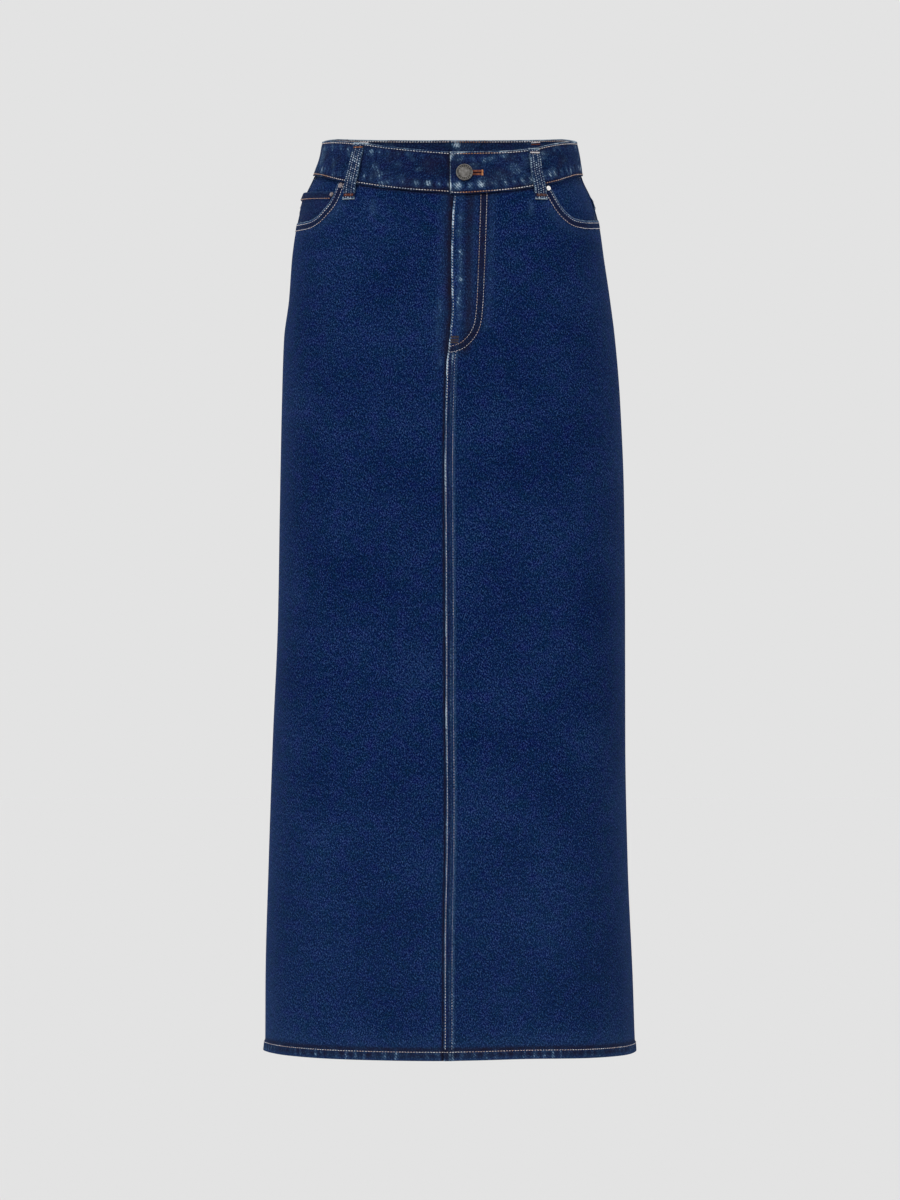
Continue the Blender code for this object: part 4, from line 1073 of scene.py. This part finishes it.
def seam_rise(angle, height):
    """Behind a pocket mouth, the layers come out to the side seam that catches them."""
    below_band = grow(height - band_foot(angle), -1, -4)
    return SEAM_RISE * ramp(np.abs(angle), 76, 88) * grow(height, -62, -55) * below_band


def facing(side, hand, mouth_rows):
    """The denim behind a front pocket's mouth."""
    turn = side * np.linspace(mouth_rows[0].angle - 6.0, SIDE + 1.2, 52)
    foot = band_foot(turn)
    height = np.linspace(np.full(len(turn), FACING_BOTTOM), foot + 5 * MM, 40, axis=1)
    angle = np.broadcast_to(turn[:, None], height.shape)
    out = FACING_OUT + seam_rise(angle, height)
    wear = 0.03 * near(height - foot[:, None], -6, 14)
    name = "pocket_facing_" + hand
    made = shell(name, angle, height, out, out - DENIM, wear, 0)
    declare(made, name)


def coin_relief(angle, height):
    """The coin pocket's outside: its folded top stands away from the facing by the side seam."""
    top = coin_top(angle)
    in_hem = ramp(height, top - 1.4 * COIN_HEM, top - COIN_HEM)
    bulge = COIN_BULGE * ramp(np.abs(angle), 56, 80) * in_hem
    under_panel = 1 - ramp(np.abs(angle), 48, 51)
    return COIN_OUT + seam_rise(angle, height) + bulge + 0.4 * MM * in_hem - 0.6 * MM * under_panel


def coin_pocket():
    """The small pocket in the right front pocket, caught in the side seam."""
    turn = -np.linspace(46.5, SIDE - 0.1, 52)
    top = coin_top(turn)
    rest = np.linspace(top - 14 * MM, np.full(len(top), COIN_BOTTOM), 22, axis=1)
    height = np.concatenate([top[:, None] - COIN_ROWS, rest], axis=1)
    angle = np.broadcast_to(turn[:, None], height.shape)
    below = top[:, None] - height
    outside = coin_relief(angle, height) - folded(below)
    inside = COIN_IN + seam_rise(angle, height) - 0.2 * MM + 0.3 * folded(below)
    wear, stain_and_shade = 0.4 * near(below, 0, 1), 0.3 + 0.4 * near(below - COIN_HEM, -2.5, 3)
    made = shell("coin_pocket_cloth", angle, height, outside, inside, wear, stain_and_shade)
    declare(made, "coin_pocket")


def pocket_place(side, across, down):
    """A place on a back pocket: across from -0.5, by centre back, to 0.5, and down from 0 to 1."""
    middle = POCKET_FROM_CENTRE + POCKET_TOP_WIDTH / 2
    top_angle = angle_along(BACK, POCKET_TOP_LEVEL, -(middle + across * POCKET_TOP_WIDTH))
    top = float(yoke_foot(top_angle)) - POCKET_BELOW_YOKE
    width = POCKET_TOP_WIDTH + (POCKET_FOOT_WIDTH - POCKET_TOP_WIDTH) * down
    point = POCKET_POINT * (1 - abs(2 * across))
    height = top - down * (POCKET_HEIGHT + point)
    return side * angle_along(BACK, height, -(middle + across * width)), height


def pocket_out(down):
    """A back pocket's outside, thicker in its hem."""
    hem = 1 - ramp(down * POCKET_HEIGHT, POCKET_HEM, 1.15 * POCKET_HEM)
    return POCKET_LIE + POCKET_THICKNESS + 0.5 * MM * hem


def back_pocket(side, hand):
    edge = np.array([0, 0.2, 0.5, 0.9, 1.5, 2.4, 3.6, 5.0, 6.4, 7.6, 8.8, 10.4])
    across = np.concatenate([edge, np.linspace(12.5, 115.5, 46), 128 - edge[::-1]]) / 128 - 0.5
    middle = np.concatenate([[11.8, 13, 14, 15, 16], np.linspace(18, 116, 42)])
    down = np.concatenate([edge, middle, 128 - edge[::-1]]) / 128
    coarse = np.linspace(-0.5, 0.5, 33), np.linspace(0, 1, 25)
    places = np.array([[pocket_place(side, a, d) for d in coarse[1]] for a in coarse[0]])
    angle, height = (sampled(places[..., k], *coarse, across, down) for k in (0, 1))
    a, d = np.meshgrid(across, down, indexing="ij")
    from_side = (0.5 - np.abs(a)) * (POCKET_TOP_WIDTH + (POCKET_FOOT_WIDTH - POCKET_TOP_WIDTH) * d)
    from_foot, from_top = (1 - d) * POCKET_HEIGHT, d * POCKET_HEIGHT
    sewn = np.minimum(from_side, from_foot)
    from_edge = np.minimum(sewn, from_top)
    along = np.where(from_side < from_foot, height, a * 0.12)
    ropes = rope(along, sewn, POCKET_ROPE, 0.5, 110)
    ropes *= near(sewn, 4.5, 3)
    outside = pocket_out(d) - 2 * folded(from_edge) + POCKET_ROPE_RISE * ropes
    outside += 0.5 * MM * bell(d - 0.5, 0.35) * bell(a, 0.3)
    wear = 0.85 * near(from_edge, 0, 1.2) + 0.3 * ropes
    stain_and_shade = 0.6 * near(sewn, 4.6, 2.4) * grow(from_top, 2, 8)
    stain_and_shade = np.maximum(stain_and_shade, 0.35 * near(from_top - POCKET_HEM, 1, 1.5))
    name = "back_pocket_" + hand
    made = shell(name + "_cloth", angle, height, outside, POCKET_LIE, wear, stain_and_shade)
    declare(made, name)


def loop_ends(spec):
    return float(band_top(spec.top)) - LOOP_TOP_INSET, float(band_foot(spec.foot)) - spec.below * MM


def loop_place(spec, height, off=0.0):
    """A belt loop's angle at a height, off to one side of its middle, and its inner face."""
    top, foot = loop_ends(spec)
    share = (top - height) / (top - foot)
    lift = LAP_LIFT * ramp(share, 0.7, 0.85) if abs(spec.top) == BACK else 0.0
    per_metre = 1 / np.linalg.norm(skin(spec.top, -0.02) - skin(spec.top - 1, -0.02))
    angle = spec.top + (spec.foot - spec.top) * share + off * per_metre
    return angle, read(LOOP_STAND, share, "out") * MM + lift


def belt_loop(spec):
    """A folded strip, tacked down at its top and foot and standing off the waistband between.

    Its face is rubbed pale in close dots, on the crests of the cloth over its folded edges."""
    top, foot = loop_ends(spec)
    half = LOOP_WIDTH / 2

    def spread(low, high, count):
        middle = np.linspace(low + 1.7 * MM, high - 1.7 * MM, count)
        return np.concatenate([low + LOOP_ROWS, middle, high - LOOP_ROWS[::-1]])

    off, height = np.meshgrid(spread(-half, half, 26), spread(foot, top, 136), indexing="ij")
    angle, stand = loop_place(spec, height, off)
    from_side, from_end = half - np.abs(off), np.minimum(height - foot, top - height)
    seed, column = int(abs(spec.top)) + 200, np.round(off / LOOP_RIB)
    level = height + 0.5 * column * LOOP_RIB
    dots = (0.5 + 0.5 * np.cos(math.tau * off / LOOP_RIB)) * rope(level, 0.0, LOOP_DOT, 0.0, seed)
    dots *= 0.75 + 0.45 * wander(column * 57 + np.round(level / LOOP_DOT), seed, 1.0)
    tacks = bell(from_end - LOOP_TACK, 1.5 * MM)
    outside = stand + LOOP_THICKNESS - 0.3 * MM + 0.4 * MM * dots - 0.25 * MM * tacks
    outside -= 2 * folded(from_side) + 2 * folded(from_end)
    wear = 0.2 + 1.7 * dots + 0.5 * near(from_side, 0, 0.8) + 1.1 * near(from_end, 0, 1.3)
    stain_and_shade = 0.45 + 0.3 * tacks - 0.45 * dots
    name = "belt_loop_" + spec.name
    grids = (angle, height, outside, stand, wear * (1 - 0.8 * tacks), stain_and_shade)
    made = shell(name + "_cloth", *grids, lining=FACE)
    declare(made, name)


# --- sewing -------------------------------------------------------------------------------------

Row = namedtuple("Row", "points normals tint")


def row(angle, height, out, tint, inward=False):
    """A row of stitching through places on the cloth, at its outside or, inward, at its inside."""
    angle, height, out = (np.asarray(x, float) for x in np.broadcast_arrays(angle, height, out))
    normals = outward(angle, height)
    return Row(skin(angle, height, out), -normals if inward else normals, tint)


def through(angle, height, out, inner, tint, inner_tint=0.4):
    """A row as it shows on both sides of the cloth."""
    return [row(angle, height, out, tint), row(angle, height, inner, inner_tint, inward=True)]


def one_stitch():
    """The stitch that all rows repeat: its corners, along (-0.5 to 0.5), across and up, and faces.

    It bows up out of the cloth, and its ends go down into it."""
    bpy.ops.object.select_all(action="DESELECT")
    lying = {"rotation": (0, math.pi / 2, 0)}
    bpy.ops.mesh.primitive_uv_sphere_add(segments=6, ring_count=5, radius=0.5, **lying)
    made = bpy.context.object
    bpy.ops.object.transform_apply(location=True, rotation=True, scale=True)
    bpy.ops.object.mode_set(mode="EDIT")
    bpy.ops.mesh.select_all(action="SELECT")
    bpy.ops.transform.resize(value=(1, THREAD_WIDTH, THREAD_WIDTH))
    bpy.ops.object.mode_set(mode="OBJECT")
    corners = np.array([corner.co for corner in made.data.vertices])
    corners[:, 2] += STITCH_RISE - STITCH_SINK * corners[:, 0] ** 2
    faces = np.array([[*face.vertices, -1][:4] for face in made.data.polygons])
    bpy.data.objects.remove(made)
    return corners, faces


CORNERS, STITCH_FACES = one_stitch()


def sew(name, rows, pitch=STITCH, fill=0.74, width=1.0):
    """One object for rows of stitches: copies of the one stitch, bent along each row."""
    rng = np.random.default_rng(len(rows) + 11)
    points, tints = [], []
    for line in rows:
        gone = lengths(line.points)
        number = max(1, round(gone[-1] / pitch))
        long = gone[-1] / number
        centre = (np.arange(number) + 0.5 + rng.normal(0, 0.02, number)) * long
        side = np.cross(line.normals, np.gradient(line.points, axis=0))
        side /= np.linalg.norm(side, axis=1, keepdims=True)
        skew = rng.normal(0, 0.12 * MM, number)[:, None] * CORNERS[:, 0] * 2
        at = centre[:, None] + CORNERS[:, 0] * long * fill
        middle, up, across = (
            np.stack([np.interp(at, gone, column) for column in way.T], axis=-1)
            for way in (line.points, line.normals, side)
        )
        placed = middle + across * (CORNERS[:, 1] * width + skew)[..., None]
        placed += up * (CORNERS[:, 2] * width)[:, None]
        points.append(placed.reshape(-1, 3))
        tint = np.interp(centre, gone, np.broadcast_to(line.tint, gone.shape))
        stray = 0.13 * wander(centre, int(gone[-1] * 1e4) % 97, 16 * MM)
        stray += rng.normal(0, 0.04, number)
        tint = tint + stray * (1 - ramp(tint, 0.75, 0.9))
        tints.append(np.repeat(np.clip(tint, 0, 1), len(CORNERS)))
    points = np.concatenate(points)
    starts = range(0, len(points), len(CORNERS))
    faces = [[start + v for v in face if v >= 0] for start in starts for face in STITCH_FACES]
    made = add_mesh(name, points, faces, [THREAD])
    paint(made, "tint", np.concatenate(tints))
    fit(made)


def tack(angle, height, out, wide, tall, tint, inward=False):
    """A bar tack: a close zigzag of thread over a small bar, as rows of one stitch each."""
    centre, normal = skin(angle, height, out), outward(np.array(angle), np.array(height))
    normal = -normal if inward else normal
    up = np.array([0, 0, 1.0])
    across = np.cross(up, normal)
    across /= np.linalg.norm(across)
    number = max(4, round(wide / TACK_THREAD))
    rows = []
    for k in range(number):
        along = (k + 0.5) / number - 0.5
        foot = centre + across * along * wide - up * tall / 2
        head = centre + across * (along + 0.4 / number) * wide + up * tall / 2
        line = np.linspace(foot, head, 5)
        rows.append(Row(line, np.broadcast_to(normal, line.shape), tint))
    return rows


def sew_front():
    """The centre front and the fly."""
    foot = float(band_foot(2.0))
    heights = np.linspace(HEM_BOTTOM + HEM_DEPTH + 1 * MM, foot - 0.6 * MM, 700)
    for name, step, top, tint, width in (
        ("centre_front_edge_stitching", LAP_ROWS[0], foot, 0.14, 0.95),
        ("centre_front_stitching", LAP_ROWS[1], -204 * MM, 0.05, 0.52),
    ):
        up = heights[heights < top]
        angle = angle_at(lap_edge(up) + step, up)
        sew(name, through(angle, up, LAP_LIFT, -DENIM, tint), fill=0.64, width=width)

    rows = []
    for line in fly_lines():
        angle, height = even(line, 2 * MM).T
        from_edge = skin(angle, height)[..., 0] - lap_edge(height)
        lapped = lap_lift(from_edge) * (from_edge > -0.1 * MM)
        rows.append(row(angle, height, lapped + 0.4 * MM, 0.26))
    sew("fly_stitching", rows, fill=0.76, width=0.6)


def sew_pockets():
    rows = []
    for side, _, mouth in SIDES:
        line = curve(mouth, 120) * (side, MM)
        for gauge, tint in zip(MOUTH_ROWS, (0.12, 0.24)):
            angle, height = inset(line, side * gauge).T
            keep = (height < band_foot(angle) - 0.8 * MM) & (np.abs(angle) < SIDE - 0.5)
            rows.append(row(angle[keep], height[keep], 0.3 * MM, tint))
    sew("front_pocket_stitching", rows, width=0.9)

    angle = -np.linspace(49.5, SIDE - 0.6, 60)
    down = coin_top(angle) - COIN_HEM
    sew("coin_pocket_stitching", [row(angle, down, coin_relief(angle, down), 0.5)])


def sew_hem():
    angle, height = np.linspace(-BACK, BACK, 1600), HEM_BOTTOM + HEM_ROW
    edge = np.where(np.cos(np.radians(angle)) > 0, lap_edge(height), BACK_LAP_EDGE)
    from_edge = skin(angle, height)[:, 0] - edge
    out = lap_lift(from_edge) * (from_edge > 0) + HEM_OUT
    sew("hem_stitching", through(angle, height, out, -HEM_IN, 0.26), fill=0.8, width=0.82)


def sew_waistband():
    rows = []
    for side, _, _ in SIDES:
        turn = side * np.linspace(float(angle_at(0.8 * MM, -0.02)), BACK - 0.2, 700)
        low, high = band_foot(turn) + BAND_ROW, band_top(turn) - BAND_ROW
        for end, height in (("foot", low), ("top", high)):
            x = skin(turn, height)[..., 0]
            out, lift, *_ = band_relief(turn, height, x, side)
            tint = read(BAND_TINTS, x / MM, end)
            rows += through(turn, height, out, lift - BAND_IN, tint, tint + 0.1)
    sew("waistband_stitching", rows, width=1.2)


def sew_back():
    """The yoke seams, the centre back seam and the patch pockets."""
    rows = []
    turn = np.linspace(SIDE + 0.5, BACK - 0.5, 400)
    for side, _, _ in SIDES:
        for gauge, inner in zip(YOKE_ROWS, (DENIM + YOKE_TUCK, DENIM)):
            height = yoke_foot(turn) + gauge
            from_edge = skin(side * turn, height)[..., 0] - BACK_LAP_EDGE
            lapped = lap_lift(from_edge) * (from_edge > 0)
            rows += through(side * turn, height, YOKE_LIP + lapped, -inner, 0.42)
    seam, top = float(yoke_foot(BACK)), float(band_foot(BACK)) - 1 * MM
    for gauge in LAP_ROWS:
        for low, high in ((HEM_BOTTOM + HEM_DEPTH + MM, seam - 1 * MM), (seam + 0.5 * MM, top)):
            up = np.linspace(low, high, max(20, round((high - low) / (1.5 * MM))))
            angle = angle_at(BACK_LAP_EDGE + gauge, up, back=True)
            lip = yoke_lip(up - seam) * (up > seam)
            rows += through(angle, up, LAP_LIFT + lip, -DENIM, 0.2)
    sew("back_seam_stitching", rows)

    # Two rows round a back pocket's sides and foot, and one along its hem
    rows = []
    hem = (POCKET_HEM - 1.2 * MM) / POCKET_HEIGHT
    for side, _, _ in SIDES:
        paths = []
        for gauge in POCKET_ROWS:
            end, foot = 0.5 - gauge / POCKET_TOP_WIDTH, 1 - gauge / POCKET_HEIGHT
            down = np.linspace(0.004, foot, 34)
            path = [(-end, d) for d in down]
            path += [(a, foot) for a in np.linspace(-end, end, 61)[1:-1]]
            paths.append(path + [(end, d) for d in down[::-1]])
        for path in (*paths, [(a, hem) for a in np.linspace(-0.43, 0.43, 40)]):
            angle, height = np.array([pocket_place(side, a, d) for a, d in path]).T
            rows.append(row(angle, height, pocket_out(np.array(path)[:, 1]), 0.42))
    sew("back_pocket_stitching", rows)


def sew_loops():
    """The belt loops' rows and tacks, and the tacks at the fly's foot."""
    rows, tacks = [], []
    for spec in LOOPS:
        top, foot = loop_ends(spec)
        up = np.linspace(foot + 1.5 * MM, top - 1.5 * MM, 60)
        for off in (-LOOP_GAUGE / 2, LOOP_GAUGE / 2):
            angle, stand = loop_place(spec, up, off)
            rows.append(row(angle, up, stand + LOOP_THICKNESS - 0.15 * MM, 0.04))
        foot_tint, top_tint = (0.96, 0.3) if spec.top > 0 else (0.9, 0.86)
        ends = ((foot + LOOP_TACK, 3.4 * MM, foot_tint), (top - LOOP_TACK, 1.8 * MM, top_tint))
        for end, tall, tint in ends:
            angle, stand = loop_place(spec, end)
            out = float(stand) + LOOP_THICKNESS - 0.25 * MM
            tacks += tack(float(angle), end, out, 10.5 * MM, tall, tint)
    # The back loops' tacks come through to the inside of the waistband
    for spec in LOOPS[2:4]:
        for down, tint in ((2.6 * MM, 0.1), (4.6 * MM, 0.88)):
            end = loop_ends(spec)[0] - down
            tacks += tack(spec.top, end, -BAND_IN, 11 * MM, 1.6 * MM, tint, inward=True)
    sew("belt_loop_stitching", rows, pitch=LOOP_STITCH, fill=0.6, width=0.8)
    for up in (-190.4 * MM, -193.2 * MM, -196.0 * MM):
        fly = float(angle_at(lap_edge(up) + 5.2 * MM, up))
        tacks += tack(fly, up, LAP_LIFT + 0.2 * MM, 8.4 * MM, 3.2 * MM, 1.0)
    sew("bar_tacks", tacks, pitch=TACK_PITCH, fill=0.95, width=0.85)


def sew_buttonhole():
    """Close stitches square to the keyhole's edge, all round it, and a bar at its end."""
    rows = []

    def on_flap(xs, heights, out, tint):
        angle = angle_at(xs, heights)
        rows.append(row(angle, heights, band_relief(angle, heights, xs, 1)[0] + out, tint))

    half = SLIT_WIDTH / 2
    turn = math.asin(half / EYE_RADIUS)
    ways = [(math.cos(a), math.sin(a)) for a in np.linspace(turn, math.tau - turn, 22)]
    outline = [(BUTTON_X + EYE_RADIUS * x, EYE_RADIUS * z, x, z) for x, z in ways]
    start = BUTTON_X + EYE_RADIUS * math.cos(turn) + 0.4 * MM
    for x in np.arange(start, SLIT_END, 0.58 * MM):
        outline += [(x, half, 0.0, 1.0), (x, -half, 0.0, -1.0)]
    for k, (x, z, way_x, way_z) in enumerate(outline):
        out = np.linspace(-0.1, 2.4, 5) * MM
        xs, heights = x + way_x * out, EYE_HEIGHT + z + way_z * out
        tint = (0.77 if k // 2 % 5 < 3 else 0.87) + 0.04 * grow(xs[0], 27, 22)
        on_flap(xs, heights, 0.05 * MM, tint)
    for k in np.linspace(-2.7, 2.7, 10):
        xs = SLIT_END + np.linspace(-0.3, 1.9, 5) * MM
        on_flap(xs, np.full(5, EYE_HEIGHT + k * MM), 0.1 * MM, 0.72)
    sew("buttonhole_stitching", rows, pitch=TACK_PITCH, fill=1.0, width=1.05)


# --- hard pieces --------------------------------------------------------------------------------


def stand_on_cloth(made, angle, height, out):
    """Turns a piece made about +Z to stand on the cloth, and keeps its place in its mesh."""
    normal = Vector(outward(np.array(angle), np.array(height)))
    base = Vector(skin(angle, height)) + normal * out
    turn = normal.to_track_quat("Z", "Y").to_matrix().to_4x4()
    made.data.transform(Matrix.Translation(base) @ turn)


def disc(vertices, radius, low, high):
    """A cylinder about +Z, between two heights."""
    bpy.ops.object.select_all(action="DESELECT")
    size = {"vertices": vertices, "radius": radius, "depth": high - low}
    bpy.ops.mesh.primitive_cylinder_add(location=(0, 0, (low + high) / 2), **size)
    bpy.ops.object.transform_apply(location=True, rotation=True, scale=True)
    return bpy.context.object


def turn_cap(name, vertices, radius, thick, steps):
    """A cap whose top is inset step by step, in millimetres, and moved up or down after each."""
    made = disc(vertices, radius, 0, thick)
    made.name = name
    bpy.ops.object.mode_set(mode="EDIT")
    bpy.ops.mesh.select_all(action="DESELECT")
    mesh = bmesh.from_edit_mesh(made.data)
    max(mesh.faces, key=lambda face: face.calc_center_median().z).select_set(True)
    bmesh.update_edit_mesh(made.data)
    for narrower, up in steps:
        bpy.ops.mesh.inset(thickness=narrower * MM)
        if up:
            bpy.ops.transform.translate(value=(0, 0, up * MM))
    bpy.ops.object.mode_set(mode="OBJECT")
    return made


def round_edges(made, width, segments, sharp=30):
    """Bevels the edges that turn by more than some degrees. The piece is the active one."""
    bevel = made.modifiers.new("edges", "BEVEL")
    bevel.width, bevel.segments, bevel.angle_limit = width, segments, math.radians(sharp)
    bpy.ops.object.modifier_apply(modifier=bevel.name)


def button():
    """The waist's shank button: a domed rim, a milled ring and a sunk face, on a plain stem."""
    steps = ((1.05, 0), (0.25, -0.35), (1.45, 0), (0.2, 0.3), (0.5, 0), (3.4, 0.12))
    made = turn_cap("waist_button", 72, BUTTON_RADIUS, BUTTON_THICKNESS, steps)
    round_edges(made, 0.4 * MM, 3, 40)
    made.data.materials.clear()
    made.data.materials.append(BUTTON_METAL)
    made.data.materials.append(BUTTON_DARK)
    # Tarnish stays in the groove inside the rim
    for face in made.data.polygons:
        in_groove = 7.15 * MM < face.center.xy.length < 7.4 * MM
        if in_groove and face.center.z > BUTTON_THICKNESS - 0.6 * MM and face.normal.z > 0.5:
            face.material_index = 1
    pieces = []
    for k in range(20):
        turn = k * math.tau / 20
        across = (MILLED_RADIUS * math.cos(turn), MILLED_RADIUS * math.sin(turn))
        bpy.ops.object.select_all(action="DESELECT")
        size = {"size": 1, "scale": (1.3 * MM, 0.85 * MM, 0.45 * MM), "rotation": (0, 0, turn)}
        location = (*across, BUTTON_THICKNESS - 0.35 * MM)
        bpy.ops.mesh.primitive_cube_add(location=location, **size)
        bpy.ops.object.transform_apply(location=True, rotation=True, scale=True)
        pieces.append(bpy.context.object)
        round_edges(pieces[-1], 0.12 * MM, 2)
    base = BAND_OUT + FLAP_LIFT + 0.6 * MM
    pieces.append(disc(24, 1.6 * MM, BAND_OUT - UNDER_SINK + 0.3 * MM - base, 0.4 * MM))
    bpy.ops.object.select_all(action="DESELECT")
    for piece in pieces:
        piece.data.materials.append(BUTTON_DARK)
        piece.select_set(True)
    made.select_set(True)
    bpy.context.view_layer.objects.active = made
    bpy.ops.object.join()
    bpy.ops.object.shade_smooth_by_angle(angle=math.radians(35))
    stand_on_cloth(made, float(angle_at(BUTTON_X, BUTTON_HEIGHT)), BUTTON_HEIGHT, base)
    fit(made, "button")


def rivet(spec):
    """A tubular rivet's cap: a rolled rim, a shallow dish, and the post's nipple in the middle."""
    steps = ((0.28, 0), (0.1, -0.22), (0.2, 0), (0.06, 0.42), (0.16, 0.12))
    steps = [(share * spec.radius, up) for share, up in steps]
    made = turn_cap(spec.node + "_cap", 32, spec.radius * MM, 0.9 * MM, steps)
    round_edges(made, 0.22 * MM, 3, 35)
    bpy.ops.object.shade_smooth_by_angle(angle=math.radians(50))
    made.data.materials.append(RIVET_METAL if spec.angle > 0 else RIVET_DULL)
    stand_on_cloth(made, spec.angle, spec.height * MM, spec.on * MM + 0.1 * MM)
    fit(made, spec.node)


# --- camera, floor and light --------------------------------------------------------------------

CAMERA_DISTANCE = 5.0
CAMERA_HEIGHT = -457.8 * MM
FRAME_HEIGHT = 1248.0 * MM  # what the frame takes in at the middle of the skirt
SENSOR = 36.0
FLOOR = -1.9


def studio():
    scene = bpy.context.scene
    scene.view_settings.view_transform = "Standard"
    camera = bpy.data.objects.new("camera", bpy.data.cameras.new("camera"))
    camera.location = (0, -CAMERA_DISTANCE, CAMERA_HEIGHT)
    camera.rotation_euler = (math.pi / 2, 0, 0)
    camera.data.sensor_width = SENSOR
    camera.data.lens = SENSOR * CAMERA_DISTANCE / FRAME_HEIGHT
    scene.collection.objects.link(camera)
    scene.camera = camera

    scene.world = bpy.data.worlds.new("soft_light")
    scene.world.use_nodes = True
    light = scene.world.node_tree.nodes["Background"].inputs
    light["Color"].default_value = linear("#E3E3E3")
    light["Strength"].default_value = 1.0
    for name, strength, spread, turn in (
        ("key", 1.5, 50, (55, 0, -28)),
        ("fill", 0.5, 80, (62, 0, 38)),
    ):
        lamp = bpy.data.lights.new(name, "SUN")
        lamp.energy = strength
        lamp.angle = math.radians(spread)
        placed = bpy.data.objects.new(name, lamp)
        placed.rotation_euler = [math.radians(x) for x in turn]
        scene.collection.objects.link(placed)

    bpy.ops.object.select_all(action="DESELECT")
    bpy.ops.mesh.primitive_plane_add(size=60, location=(0, 0, FLOOR))
    floor = bpy.context.object
    floor.name = "floor"
    values = {"Roughness": 1.0, "Base Color": linear("#D8D8D8"), "Specular IOR Level": 0.0}
    floor.data.materials.append(new_material("pale_floor", values)[0])


SIDES = ((1, "left", MOUTH_LEFT), (-1, "right", MOUTH_RIGHT))

studio()
for side, hand, mouth in SIDES:
    front_panel(side, hand, mouth)
    back_panel(side, hand)
    yoke(side, hand)
    waistband(side, hand)
    facing(side, hand, mouth)
    back_pocket(side, hand)
coin_pocket()
for spec in LOOPS:
    belt_loop(spec)
sew_front()
sew_hem()
sew_pockets()
sew_waistband()
sew_back()
sew_loops()
sew_buttonhole()
button()
for spec in RIVETS:
    rivet(spec)
